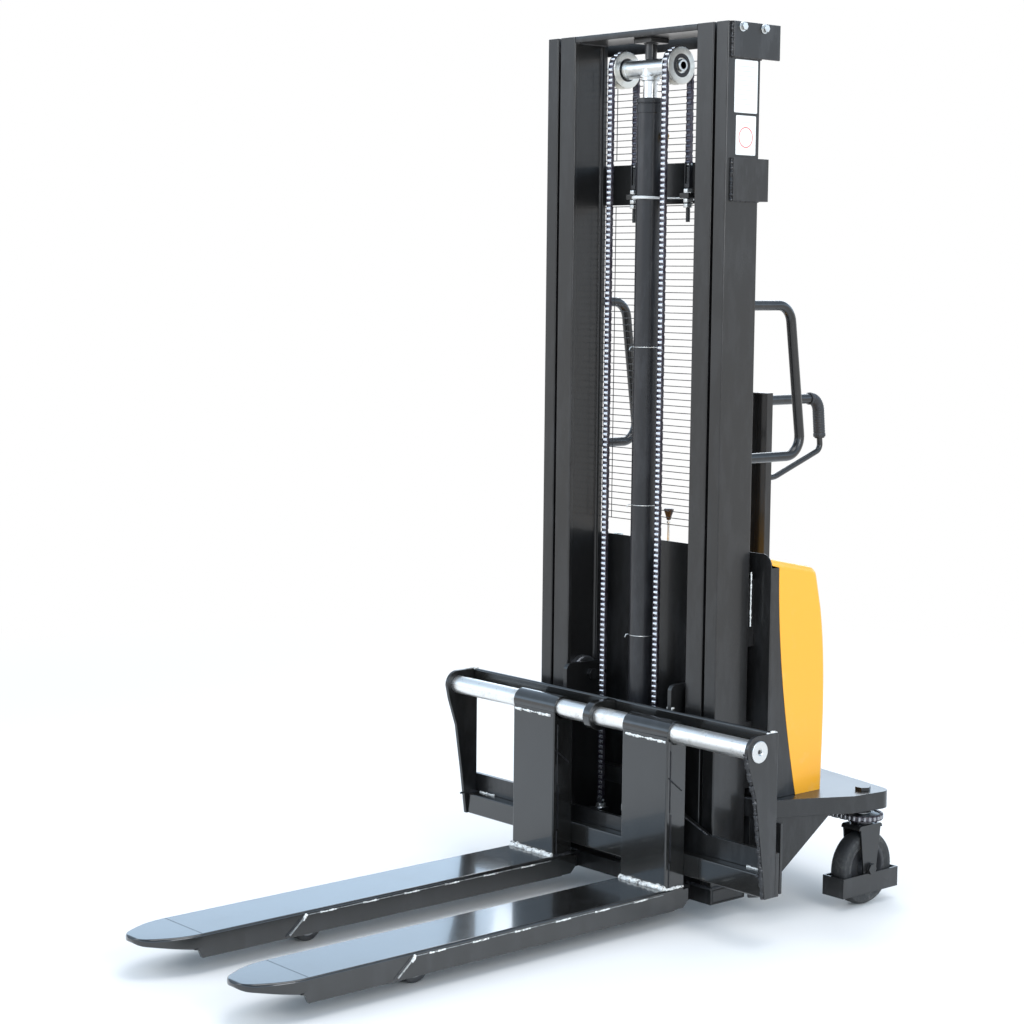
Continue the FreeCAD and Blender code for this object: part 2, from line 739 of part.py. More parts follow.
def base_outline(inset):
    """The base plate's plan, shrunk by an inset."""
    side, back, middle = base_back
    return both_sides([(housing_half - inset, mast_depth + inset),
                       (housing_half + base_flare[0] - inset, base_flare[1]),
                       (caster_x + base_side_reach - inset, base_side_y - inset / 2),
                       (caster_x + base_rear_reach - inset, base_rear_y - inset,
                        base_rear_radius - inset / 2),
                       (side[0] - inset / 2, side[1] - inset), (back[0], back[1] - inset),
                       (middle[0], middle[1] - inset, base_nose_radius)])


def base():
    """The base plate with its skirt and bosses, and the gussets below it."""
    plate = plate_xy(base_outline(0), base_bottom, base_top)
    plate = plate.cut(plate_xy(base_outline(base_skin), base_bottom - 1, base_top - base_skin))
    bosses = [(caster_x, caster_y, caster_shaft), (-caster_x, caster_y, caster_shaft),
              (0, tiller_y, tiller_shaft)]
    for x, y, shaft in bosses:
        plate = plate.fuse(bar_z_axis(shaft + 2 * boss_wall_base, x, y, base_bottom, base_top - base_skin))
    for x, y, shaft in bosses:
        plate = plate.cut(bar_z_axis(shaft + 2 * running, x, y, base_bottom - 1, base_top + 1))
    plate = plate.cut(bar_z_axis(pipe_diameter + hub_wall, pipe_x, pipe_y, base_bottom, base_top + cut_over))
    save("base_plate", plate)

    start = V(half_mast + gusset_thickness + cut_over, mast_depth + gusset_thickness, 0)
    run = V(caster_x + gusset_end[0], gusset_end[1], 0) - start
    tip = run.Length * gusset_toe / run.y
    side = [(0, base_bottom), (run.Length, base_bottom), (tip, beam_bottom), (0, beam_bottom)]
    gusset = plate_xz(side, 0, gusset_thickness)
    gusset.rotate(V(0, 0, 0), V(0, 0, 1), math.degrees(math.atan2(run.y, run.x)))
    gusset.translate(start)
    save("gussets", *pair(gusset))


def sprocket(x, y, diameter):
    """A steering sprocket."""
    return bar_z_axis(diameter, x, y, sprocket_top - sprocket_thickness, sprocket_top)


def caster_fork():
    """A swivelling caster fork with its shaft, sprocket and foot guard."""
    inner = caster_tread / 2 + caster_play
    outer = inner + caster_cheek
    half_crown = crown_length / 2
    crown_bottom = caster_crown_top - caster_crown
    crown = [(caster_y - half_crown, crown_bottom), (caster_y - half_crown, caster_crown_top, crown_edge),
             (caster_y + half_crown, caster_crown_top, crown_edge), (caster_y + half_crown, crown_bottom)]
    body = plate_yz(crown, caster_x - outer, caster_x + outer)
    shaft = bar_z_axis(caster_shaft, caster_x, caster_y, crown_bottom, base_top + 2)
    head = hexagon_z(head_diameter, caster_x, caster_y, base_top + slip, base_top + head_height)
    hub = bar_z_axis(caster_shaft + 2 * hub_wall, caster_x, caster_y, caster_crown_top, base_bottom - slip)
    body = body.fuse([shaft, head, hub, sprocket(caster_x, caster_y, sprocket_diameter)])
    half_neck = half_crown - crown_inset
    foot_z = guard_bottom + guard_band
    cheek = [(caster_y - half_neck, crown_bottom), (caster_y + half_neck, crown_bottom),
             (caster_y + cheek_half, axle_z - cheek_bend, cheek_bend), (caster_y + cheek_foot_half, foot_z),
             (caster_y - cheek_foot_half, foot_z), (caster_y - cheek_half, axle_z - cheek_bend, cheek_bend)]
    for x0 in (caster_x + inner, caster_x - outer):
        body = body.fuse(plate_yz(cheek, x0, x0 + caster_cheek))
    half_guard = guard_length / 2
    wide = outer + guard_band
    band_top = guard_bottom + guard_height
    band = box(caster_x - wide, caster_x + wide, caster_y - half_guard, caster_y + half_guard,
               guard_bottom, band_top)
    band = band.cut(box(caster_x - outer, caster_x + outer, caster_y - half_guard + guard_band,
                        caster_y + half_guard - guard_band, guard_bottom - 1, band_top + 1))
    axle = bar_x(caster_axle, caster_x - wide, caster_x + wide, caster_y, axle_z)
    heads = [hexagon_x(caster_axle + 8, caster_x + wide, caster_x + wide + 6, caster_y, axle_z),
             hexagon_x(caster_axle + 8, caster_x - wide - 6, caster_x - wide, caster_y, axle_z)]
    spacers = [bar_x(caster_axle + 12, caster_x + outer, caster_x + wide, caster_y, axle_z),
               bar_x(caster_axle + 12, caster_x - wide, caster_x - outer, caster_y, axle_z)]
    return body.fuse([band, axle] + heads + spacers)


def caster_wheel_solids():
    """A rubber tyre on a steel hub."""
    half = caster_tread / 2
    rim = caster_wheel - 2 * tyre_height
    tyre = ring_x(caster_wheel, rim, caster_x - half, caster_x + half, caster_y, axle_z)
    tyre = tyre.makeFillet(tyre_edge, [e for e in tyre.Edges if abs(e.BoundBox.ZLength - caster_wheel) < 1])
    hub = ring_x(rim, caster_axle + 2 * running, caster_x - half + 2, caster_x + half - 2, caster_y, axle_z)
    half_disc = hub_disc / 2
    for x0, x1 in ((caster_x - half, caster_x - half_disc), (caster_x + half_disc, caster_x + half)):
        hub = hub.cut(ring_x(rim - 2 * hub_disc, caster_axle + 2 * hub_disc, x0, x1, caster_y, axle_z))
    return tyre, hub


def casters():
    """Both casters and the chain that steers them."""
    for side, shape in zip(("right", "left"), pair(caster_fork())):
        save("caster_fork_" + side, shape)
    tyre, hub = caster_wheel_solids()
    save("caster_wheel_right", tyre, hub)
    save("caster_wheel_left", mirrored(tyre), mirrored(hub))
    save("steering_chain", chain_loop())


def loop_prism(radius):
    """A prism over the area that a belt of the given radius encloses round the three sprockets."""
    z0 = sprocket_top - sprocket_thickness / 2 - steering_chain_height / 2
    z1 = z0 + steering_chain_height
    rise = tiller_y - caster_y
    length = math.hypot(caster_x, rise)
    nx, ny = rise / length * radius, caster_x / length * radius
    core = plate_xy([(caster_x, caster_y - radius), (caster_x, caster_y), (caster_x + nx, caster_y + ny),
                     (nx, tiller_y + ny), (-nx, tiller_y + ny), (-caster_x - nx, caster_y + ny),
                     (-caster_x, caster_y), (-caster_x, caster_y - radius)], z0, z1)
    ends = [bar_z_axis(2 * radius, x, y, z0, z1)
            for x, y in ((caster_x, caster_y), (-caster_x, caster_y), (0, tiller_y))]
    return core.fuse(ends)


def chain_loop():
    """The steering chain as one closed band."""
    inner = sprocket_diameter / 2 + seat_gap
    return loop_prism(inner + 8).cut(loop_prism(inner))


# ---------------------------------------------------------------- housing

def seam_edge(shift):
    """The curved edge where the side sheets meet the cover."""
    curve = Part.BSplineCurve()
    curve.interpolate([V(0, y + shift, z) for y, z in reversed(seam)])
    return curve.toShape()


def cover_profile(wall):
    """The side view of the cover: closed by the seam in front, a sloping top and a bowed back."""
    low = base_top - (1 if wall else 0)
    front = panel_y + panel_sheet + (-20 if wall else seat_gap)
    top_front = V(0, front, cover_front_top - wall)
    top_rear = V(0, cover_rear_top[0] - wall, cover_rear_top[1] - wall)
    back = Part.BSplineCurve()
    back.interpolate([top_rear, V(0, cover_rear_mid[0] - wall, cover_rear_mid[1]),
                      V(0, cover_rear_low[0] - wall, cover_rear_low[1]), V(0, cover_rear_foot - wall, low)])
    edges = [Part.LineSegment(top_front, top_rear).toShape(), back.toShape()]
    foot = V(0, cover_rear_foot - wall, low)
    if wall:
        corner = V(0, front, low)
        edges += [Part.LineSegment(foot, corner).toShape(), Part.LineSegment(corner, top_front).toShape()]
        return Part.Face(Part.Wire(edges))
    line = seam_edge(slip)
    low_end = V(0, seam[-1][0] + slip, seam[-1][1])
    high_end = V(0, seam[0][0] + slip, seam[0][1])
    lip = V(0, front, high_end.z + lip_height)
    edges += [Part.LineSegment(foot, low_end).toShape(), line,
              Part.LineSegment(high_end, lip).toShape(), Part.LineSegment(lip, top_front).toShape()]
    return Part.Face(Part.Wire(edges))


def cover():
    """The sheet cover over the pump and the battery."""
    solid = moved(cover_profile(0), -housing_half).extrude(V(2 * housing_half, 0, 0))
    inside = housing_half - cover_sheet
    room = moved(cover_profile(cover_sheet), -inside).extrude(V(2 * inside, 0, 0))
    shell = solid.cut(room)
    slot = box(lever_x - 12, lever_x + 12, lever_y - lever_slot / 2, lever_y + lever_slot / 2,
               cover_rear_top[1] - 20, cover_front_top + 1)
    hole = bar_z_axis(button_stem + 2 * slip, button_x, button_y, cover_rear_top[1] - 20, cover_front_top)
    return shell.cut(slot).cut(hole)


def cover_top_z(y):
    """Height of the cover's sloping top at y."""
    front = panel_y + panel_sheet + seat_gap
    share = (y - front) / (cover_rear_top[0] - front)
    return cover_front_top + share * (cover_rear_top[1] - cover_front_top)


def housing():
    """The front panel, the side sheets, the cover and what stands inside."""
    outline = [(-housing_half, base_top), (housing_half, base_top), (housing_half, panel_top, panel_corner),
               (-housing_half, panel_top, panel_corner)]
    panel = plate_xz(outline, panel_y, panel_y + panel_sheet)
    blocks = []
    for z0 in (base_top + block_rise, upper_block_z):
        blocks += pair(box(outer_edge + block_inset, half_mast - block_inset, mast_depth, panel_y,
                           z0, z0 + block_height))
    save("front_panel", panel, *blocks)

    back = panel_y + panel_sheet
    top = seam[0][1]
    side_wire = Part.Wire([Part.LineSegment(V(0, back, base_top), V(0, seam[-1][0], base_top)).toShape(),
                           seam_edge(0),
                           Part.LineSegment(V(0, seam[0][0], top), V(0, back, top)).toShape(),
                           Part.LineSegment(V(0, back, top), V(0, back, base_top)).toShape()])
    sheet = moved(Part.Face(side_wire), housing_half - side_sheet).extrude(V(side_sheet, 0, 0))
    save("housing_sides", *pair(sheet))
    save("rear_cover", cover())

    length, depth, height = battery_size
    save("battery", box(-length / 2, length / 2, back + 8, back + 8 + depth, base_top, base_top + height))
    motor_y = pipe_y
    motor_top = base_top + motor_length
    motor = bar_z_axis(motor_diameter, equipment_x, motor_y, base_top, motor_top)
    half = pump_block / 2
    block = box(equipment_x - half, equipment_x + half, motor_y - half, motor_y + half,
                motor_top, motor_top + 70)
    save("pump_unit", motor, block)
    width, depth, height = tank_size
    tank_x = -equipment_x - 15
    save("oil_tank", box(tank_x - width / 2, tank_x + width / 2, back + 8, back + 8 + depth,
                         base_top, base_top + height))
    width, depth, height = controller_size
    save("controller", box(20, 20 + width, back, back + depth, 600, 600 + height))

    pipe_z = beam_top + pipe_diameter / 2 + 3
    port_z = motor_top + 30
    run = [V(equipment_x - half, pipe_y, port_z), V(pipe_x, pipe_y, port_z), V(pipe_x, pipe_y, pipe_z),
           V(0, pipe_y, pipe_z), V(0, cylinder_y + foot_block / 2, pipe_z)]
    save("pressure_pipe", pipe_along(run, (20.0, pipe_bend, pipe_bend - 4)))


def pipe_along(corners, bends):
    """A pipe through corners in space, with one bend radius for each inner corner."""
    edges = []
    start = corners[0]
    for i, radius in enumerate(bends, 1):
        arc = corner_arc(corners[i - 1], corners[i], corners[i + 1], radius)
        edges.append(Part.LineSegment(start, arc[0]).toShape())
        edges.append(Part.Arc(*arc).toShape())
        start = arc[-1]
    edges.append(Part.LineSegment(start, corners[-1]).toShape())
    section = Part.Wire(Part.Circle(corners[0], corners[1] - corners[0], pipe_diameter / 2).toShape())
    return Part.Wire(edges).makePipeShell([section], True, True)


# ---------------------------------------------------------------- guards, handles and controls

def guard_mesh(start, rows):
    """A flat guard with long narrow openings between its wires."""
    height = rows * wire_pitch + wire
    sheet = box(-guard_half, guard_half, guard_y, guard_y + wire, start, start + height)
    edges = [-guard_half] + list(guard_columns) + [guard_half - wire]
    holes = []
    for row in range(rows):
        z0 = start + wire + row * wire_pitch
        for left, right in zip(edges, edges[1:]):
            holes.append(box(left + wire, right, guard_y - 1, guard_y + wire + 1, z0, z0 + wire_pitch - wire))
    return sheet.cut(Part.makeCompound(holes))


def guards():
    """The two mesh guards behind the mast."""
    for node, (start, rows) in (("lower_guard", lower_guard), ("upper_guard", upper_guard)):
        tabs = []
        for z in (start, start + (rows - 1) * wire_pitch):
            tabs += pair(box(guard_half - guard_tab, guard_half, mast_depth, guard_y, z, z + wire_pitch))
        save(node, guard_mesh(start, rows), *tabs)


def side_handles():
    """The two bent tube handles behind the mast."""
    points = [(mast_depth, handle_top[1]), (handle_top[0], handle_top[1], handle_bend),
              (handle_low[0], handle_low[1], handle_bend), (mast_depth, handle_low[1])]
    save("side_handles", *pair(bent_tube(points, lambda y, z: V(handle_x, y, z), handle_tube)))


def tiller():
    """The steering tiller with its loop handle and rubber grip."""
    half = tiller_depth / 2
    foot_z = base_top + slip
    post = box(-tiller_x, tiller_x, tiller_y - half, tiller_y + half, foot_z + 8, tiller_top)
    wall = 3.0
    post = post.cut(box(-tiller_x + wall, tiller_x - wall, tiller_y - half - 1, tiller_y + half - wall,
                        foot_z + 60, tiller_top - wall))
    flange = bar_z_axis(tiller_width + 26, 0, tiller_y, foot_z, foot_z + 8)
    shaft = bar_z_axis(tiller_shaft, 0, tiller_y, sprocket_top - sprocket_thickness, foot_z)
    save("tiller_post", post.fuse([flange, shaft, sprocket(0, tiller_y, sprocket_diameter)]))
    back = tiller_y + half
    tube = bent_tube(loop_points(back, grip_bottom), in_middle, tiller_tube)
    points = [(loop_y(grip_bottom), grip_bottom), (loop_y(rod_corner_z), rod_corner_z, 20),
              (tiller_rod_low[0], tiller_rod_low[1], 60), (back, tiller_rod_low[1])]
    save("tiller_loop", tube, bent_tube(points, in_middle, tiller_rod))
    ends = loop_points(grip_start_y, grip_bottom + 3)
    sleeve = bent_tube(ends, in_middle, grip_diameter)
    save("tiller_grip", sleeve.cut(bent_tube(ends, in_middle, tiller_tube + 2 * running)))


def in_middle(y, z):
    """A point in the machine's middle plane."""
    return V(0, y, z)


def loop_y(z):
    """Where the loop's leaning outer run passes height z."""
    return tiller_bend_y + loop_lean * (tiller_tube_z - z)


def loop_points(start_y, end_z):
    """The bend of the tiller loop between a point on its level run and one on its outer run."""
    return [(start_y, tiller_tube_z), (tiller_bend_y, tiller_tube_z, loop_bend), (loop_y(end_z), end_z)]


def controls():
    """The lift lever with its valve, and the push button."""
    top = cover_top_z(lever_y)
    valve_top = lever_pivot_z - 14
    back = panel_y + panel_sheet
    valve = box(lever_x - 40, lever_x + 40, lever_y - 35, lever_y + 35, valve_top - 70, valve_top)
    shelf = box(lever_x - 40, lever_x + 40, back, lever_y + 35, valve_top - 76, valve_top - 70)
    ears = [box(lever_x + x0, lever_x + x0 + 6, lever_y - 10, lever_y + 10, valve_top, lever_pivot_z + 10)
            for x0 in (-16, 10)]
    pin = bar_x(lever_pin, lever_x - 16, lever_x + 16, lever_y, lever_pivot_z)
    save("control_valve", valve.fuse([shelf, pin] + ears))

    hub = ring_x(20, lever_pin + 2 * running, lever_x - 9, lever_x + 9, lever_y, lever_pivot_z)
    stem = bar_z_axis(stem_diameter, lever_x, lever_y, lever_pivot_z + 8, knob_bottom + 2)
    save("lift_lever", hub.fuse(stem),
         cone_z(knob_foot, knob_top, lever_x, lever_y, knob_bottom + 2, knob_bottom + knob_height))

    top = cover_top_z(button_y)
    head = bar_z_axis(button_head, button_x, button_y, top + button_travel + 4, top + button_travel + 12)
    stem = bar_z_axis(button_stem, button_x, button_y, top - 24, top + button_travel + 4)
    save("stop_button", head.fuse(stem))


os.makedirs("parts", exist_ok=True)
mast()
lift_drive()
carriage()
forks()
legs()
base()
casters()
housing()
guards()
side_handles()
tiller()
controls()
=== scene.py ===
"""Visual model of a walkie stacker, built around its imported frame.

Every sub-assembly is a class. It reads where its nodes lie from the frame, builds detailed
meshes in metres in the frame's own axes, gives them their finish and rides them on their body.
"""

import json
import logging
import math
from dataclasses import dataclass, field
from enum import Enum
from typing import Any, Callable, ClassVar, Iterable, Optional, Sequence, Union

import bmesh
import bpy
import numpy as np
from mathutils import Matrix, Vector


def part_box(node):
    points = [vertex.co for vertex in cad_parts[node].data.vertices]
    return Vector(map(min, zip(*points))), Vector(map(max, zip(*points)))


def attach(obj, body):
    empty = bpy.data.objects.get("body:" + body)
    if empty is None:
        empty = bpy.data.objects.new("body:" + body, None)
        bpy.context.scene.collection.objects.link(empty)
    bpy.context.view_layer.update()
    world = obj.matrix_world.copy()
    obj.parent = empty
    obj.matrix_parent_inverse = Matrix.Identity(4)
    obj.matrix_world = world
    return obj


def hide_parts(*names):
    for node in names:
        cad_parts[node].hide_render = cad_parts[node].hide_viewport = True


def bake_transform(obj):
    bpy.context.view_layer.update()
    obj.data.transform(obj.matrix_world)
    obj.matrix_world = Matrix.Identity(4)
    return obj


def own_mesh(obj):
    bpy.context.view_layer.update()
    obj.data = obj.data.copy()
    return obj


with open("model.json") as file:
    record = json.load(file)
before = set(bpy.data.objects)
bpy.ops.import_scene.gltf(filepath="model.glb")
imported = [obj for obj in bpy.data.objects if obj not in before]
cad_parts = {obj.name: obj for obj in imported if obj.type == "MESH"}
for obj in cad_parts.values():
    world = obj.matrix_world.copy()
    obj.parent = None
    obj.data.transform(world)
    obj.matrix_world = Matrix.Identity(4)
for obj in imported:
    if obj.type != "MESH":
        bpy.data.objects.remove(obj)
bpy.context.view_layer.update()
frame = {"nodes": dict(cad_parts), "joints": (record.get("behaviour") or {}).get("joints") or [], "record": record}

LOG = logging.getLogger("stacker")
SHARP = math.radians(28)

Colour = tuple[float, float, float]
Point2 = tuple[float, float]


class Axis(Enum):
    """A direction of the frame; the value is its index."""

    X = 0
    Y = 1
    Z = 2

    def place(self, u: float, v: float, along: float) -> Vector:
        """The point with plane coordinates (u, v) at a distance along this axis."""
        return {Axis.X: Vector((along, u, v)), Axis.Y: Vector((u, along, v)), Axis.Z: Vector((u, v, along))}[self]


class Side(Enum):
    """Right is +X, left is its mirror image."""

    RIGHT = 1
    LEFT = -1

    @property
    def word(self) -> str:
        """The side's name in node names."""
        return self.name.lower()


# ---- shader expressions


class Value:
    """A shader socket, or a number, that takes part in Python expressions."""

    def __init__(self, graph: "Graph", socket: Any) -> None:
        """Wrap a socket of a graph."""
        self.graph = graph
        self.socket = socket

    def _math(self, operation: str, first: Any, second: Any = 0.0) -> "Value":
        """Add a Math node.

        Args:
            operation: the Math node's operation.
            first: its first value.
            second: its second value.

        Returns:
            The node's result.
        """
        return self.graph.node("ShaderNodeMath", {"operation": operation}, {0: first, 1: second})

    def __add__(self, other: Any) -> "Value":
        """Sum."""
        return self._math("ADD", self, other)

    __radd__ = __add__

    def __mul__(self, other: Any) -> "Value":
        """Product."""
        return self._math("MULTIPLY", self, other)

    __rmul__ = __mul__

    def __sub__(self, other: Any) -> "Value":
        """Difference."""
        return self._math("SUBTRACT", self, other)

    def __rsub__(self, other: Any) -> "Value":
        """Difference with the number first."""
        return self._math("SUBTRACT", other, self)

    def __pow__(self, other: Any) -> "Value":
        """Power."""
        return self._math("POWER", self, other)

    def over(self, low: float, high: float) -> "Value":
        """A soft step from 0 below low to 1 above high."""
        return self.graph.node("ShaderNodeMapRange", {"interpolation_type": "SMOOTHSTEP"},
            {"Value": self, "From Min": low, "From Max": high})


def fill_ramp(ramp: Any, stops: Sequence[tuple[float, Colour]]) -> None:
    """Put (position, colour) stops on a colour ramp."""
    while len(ramp.elements) < len(stops):
        ramp.elements.new(1.0)
    for element, (position, colour) in zip(ramp.elements, stops):
        element.position = position
        element.color = (*colour, 1.0)


class Graph:
    """The node tree of one material or of the world."""

    def __init__(self, owner: Union[bpy.types.Material, bpy.types.World], shader: str = "Principled BSDF") -> None:
        """Take the nodes that a new material or world starts with."""
        owner.use_nodes = True
        self.tree = owner.node_tree
        self.shader = self.tree.nodes[shader]

    def node(self, kind: str, settings: Optional[dict[str, Any]] = None, sockets: Optional[dict[Any, Any]] = None,
            output: Union[int, str] = 0) -> Value:
        """Add one node.

        Args:
            kind: the node's type.
            settings: its own settings, set first; "stops" fills a colour ramp.
            sockets: the values or links of its input sockets.
            output: the output to return.

        Returns:
            The chosen output.
        """
        made = self.tree.nodes.new(kind)
        for key, value in (settings or {}).items():
            if key == "stops":
                fill_ramp(made.color_ramp, value)
            else:
                setattr(made, key, value)
        for key, value in (sockets or {}).items():
            self._set(made.inputs[key], value)
        return Value(self, made.outputs[output])

    def _set(self, socket: Any, value: Any) -> None:
        """Link a value to a socket or set it as a constant."""
        if isinstance(value, Value):
            self.tree.links.new(value.socket, socket)
        elif isinstance(value, tuple) and socket.type == "RGBA":
            socket.default_value = (*value, 1.0)
        else:
            socket.default_value = value

    def feed(self, **sockets: Any) -> None:
        """Set the shader's own sockets; an underscore in a name stands for a space."""
        for key, value in sockets.items():
            self._set(self.shader.inputs[key.replace("_", " ")], value)

    def cover(self, factor: Value, other: Value) -> None:
        """Lay a second shader over the surface's own where a factor says."""
        own = Value(self, self.shader.outputs[0])
        both = self.node("ShaderNodeMixShader", None, {0: factor, 1: own, 2: other})
        self.tree.links.new(both.socket, self.tree.nodes["Material Output"].inputs["Surface"])

    def place(self) -> Value:
        """The position on the object, in metres."""
        return self.node("ShaderNodeTexCoord", output="Object")

    def stretched(self, x: float, y: float, z: float) -> Value:
        """The position with each axis scaled, for grain that runs one way."""
        return self.node("ShaderNodeVectorMath", {"operation": "MULTIPLY"}, {0: self.place(), 1: (x, y, z)})

    def part(self, axis: Axis) -> Value:
        """One coordinate of the position."""
        return self.node("ShaderNodeSeparateXYZ", None, {0: self.place()}, axis.value)

    def noise(self, scale: float, detail: float = 3.0, rough: float = 0.55, at: Optional[Value] = None) -> Value:
        """Smooth noise around 0.5.

        Args:
            scale: spots per metre.
            detail: number of octaves.
            rough: how much the small octaves weigh.
            at: where to read it, if not at the object's position.

        Returns:
            The noise factor.
        """
        return self.node("ShaderNodeTexNoise", None, {"Vector": at or self.place(), "Scale": scale, "Detail": detail,
            "Roughness": rough})

    def cells(self, scale: float) -> Value:
        """Distance to the nearest of many scattered points."""
        return self.node("ShaderNodeTexVoronoi", None, {"Vector": self.place(), "Scale": scale})

    def edges(self, low: float = 0.51, high: float = 0.6) -> Value:
        """1 on outer edges, 0 on flat faces."""
        return self.node("ShaderNodeNewGeometry", output="Pointiness").over(low, high)

    def mix(self, factor: Any, first: Any, second: Any) -> Value:
        """A colour between two colours."""
        return self.node("ShaderNodeMix", {"data_type": "RGBA"}, {0: factor, 6: first, 7: second}, 2)

    def bump(self, height: Value, strength: float, distance: float) -> Value:
        """A normal from a height."""
        return self.node("ShaderNodeBump", None, {"Height": height, "Strength": strength, "Distance": distance})


# ---- finishes


@dataclass(frozen=True)
class Finish:
    """A surface finish, with the record's slot that it belongs to."""

    name: str
    slot: str
    made: ClassVar[dict[str, bpy.types.Material]] = {}

    def material(self) -> bpy.types.Material:
        """The finish's material, built once."""
        if self.name not in Finish.made:
            Finish.made[self.name] = bpy.data.materials.new(self.name)
            self.paint(Graph(Finish.made[self.name]))
        return Finish.made[self.name]

    def paint(self, g: Graph) -> None:
        """Build the shader; each finish has its own."""
        raise NotImplementedError


@dataclass(frozen=True)
class Enamel(Finish):
    """Sprayed gloss enamel with orange peel, thin dust and rubbed edges."""

    colour: Colour = (0.012, 0.012, 0.014)
    worn: Colour = (0.16, 0.16, 0.17)
    dust: Colour = (0.10, 0.095, 0.085)
    rough: float = 0.26
    wear: float = 0.10
    coat: float = 0.35
    peel: float = 0.07

    def paint(self, g: Graph) -> None:
        """Mix paint, dust and worn edges."""
        patches = g.noise(7.0, 5.0)
        fine = g.noise(260.0, 3.0)
        scuffs = g.noise(30.0, 6.0, 0.7, g.stretched(1.0, 1.0, 0.25))
        dust = patches.over(0.45, 0.8) * fine.over(0.42, 0.7) * 0.10
        rubbed = g.edges() * scuffs.over(0.46, 0.62) * self.wear
        chips = g.cells(45.0).over(0.02, 0.05)
        chip = (1 - chips) * g.noise(11.0).over(0.66, 0.70)
        base = g.mix(dust, self.colour, self.dust)
        base = g.mix(rubbed, base, self.worn)
        base = g.mix(chip * 0.7, base, self.worn)
        peel = g.noise(420.0, 2.0) * 0.5 + g.noise(90.0, 2.0)
        g.feed(Base_Color=base, Roughness=self.rough + patches * 0.08 + dust * 0.6 + rubbed * 0.25, Metallic=0.0,
            Coat_Weight=self.coat, Coat_Roughness=0.08, IOR=1.5, Normal=g.bump(peel - chip * 0.6, self.peel, 0.0004))


@dataclass(frozen=True)
class CoverEnamel(Finish):
    """Yellow enamel, a little deeper towards the floor, with faint handling marks."""

    colour: Colour = (0.91, 0.41, 0.024)
    deep: Colour = (0.91, 0.40, 0.011)
    low: float = 0.28
    high: float = 0.46

    def paint(self, g: Graph) -> None:
        """Fade the colour with height and add marks."""
        fade = 1 - g.part(Axis.Z).over(self.low, self.high)
        patches = g.noise(5.0, 4.0)
        marks = g.noise(40.0, 6.0, 0.75, g.stretched(1.0, 1.0, 0.3)).over(0.62, 0.72)
        base = g.mix(fade * 0.8 + patches * 0.08, self.colour, self.deep)
        base = g.mix(marks * 0.10, base, (0.45, 0.26, 0.05))
        rubbed = g.edges(0.52, 0.62) * g.noise(25.0, 5.0).over(0.55, 0.7)
        base = g.mix(rubbed * 0.15, base, (0.75, 0.55, 0.28))
        g.feed(Base_Color=base, Roughness=0.3 + patches * 0.12 + marks * 0.12, Coat_Weight=0.25, Coat_Roughness=0.12,
            Normal=g.bump(g.noise(330.0, 2.0) + g.noise(60.0, 2.0), 0.08, 0.0004))


@dataclass(frozen=True)
class BrightMetal(Finish):
    """Zinc plate or ground steel, with grain along one axis and dull spots."""

    colour: Colour = (0.72, 0.73, 0.72)
    dull: Colour = (0.42, 0.43, 0.43)
    rough: float = 0.24
    grain: Colour = (1.0, 1.0, 1.0)
    spots: float = 0.5
    metal: float = 1.0

    def paint(self, g: Graph) -> None:
        """Mix clean metal with dull spots and a fine grain."""
        grain = g.noise(500.0, 3.0, 0.6, g.stretched(*self.grain))
        clouds = g.noise(16.0, 6.0, 0.65)
        spots = clouds.over(0.5, 0.68) * self.spots
        pits = g.noise(190.0, 4.0).over(0.62, 0.72) * self.spots
        base = g.mix(spots, self.colour, self.dull)
        base = g.mix(pits * 0.6, base, (0.18, 0.17, 0.16))
        g.feed(Base_Color=base, Metallic=self.metal, Roughness=self.rough + spots * 0.2 + grain * 0.14,
            Normal=g.bump(grain + clouds * 0.5, 0.10, 0.0003))


@dataclass(frozen=True)
class OiledSteel(Finish):
    """Dark blued steel with an oil film, for chain plates; its darker bluish copy on the rear runs' rollers is painted
    shade.
    """

    colour: Colour = (0.055, 0.045, 0.06)
    bright: Colour = (0.45, 0.44, 0.45)
    rough: float = 0.3
    shine: float = 0.15

    def paint(self, g: Graph) -> None:
        """Darken with oil and brighten rubbed edges."""
        film = g.noise(60.0, 5.0)
        rubbed = g.edges(0.5, 0.58) * film.over(0.35, 0.6) * self.shine
        base = g.mix(film.over(0.45, 0.75) * 0.5, self.colour, (0.02, 0.018, 0.016))
        base = g.mix(rubbed, base, self.bright)
        g.feed(Base_Color=base, Metallic=0.85, Roughness=self.rough + film * 0.15, Normal=g.bump(g.noise(700.0, 2.0),
            0.08, 0.0002))


@dataclass(frozen=True)
class Rubber(Finish):
    """Moulded rubber or plastic with a fine texture, dust and scuffs."""

    colour: Colour = (0.018, 0.018, 0.018)
    dust: Colour = (0.13, 0.125, 0.115)
    rough: float = 0.6
    texture: float = 0.25
    dusty: float = 0.5

    def paint(self, g: Graph) -> None:
        """Mix dust into a dark moulded surface."""
        patches = g.noise(14.0, 5.0)
        fine = g.noise(600.0, 3.0)
        dust = patches.over(0.42, 0.7) * g.noise(150.0, 4.0).over(0.35, 0.7) * self.dusty
        scuff = g.edges(0.5, 0.6) * g.noise(70.0, 5.0).over(0.4, 0.6) * self.dusty
        base = g.mix(dust + scuff * 0.6, self.colour, self.dust)
        g.feed(Base_Color=base, Roughness=self.rough + dust * 0.2, Normal=g.bump(fine + g.noise(120.0, 3.0),
            self.texture, 0.0005))


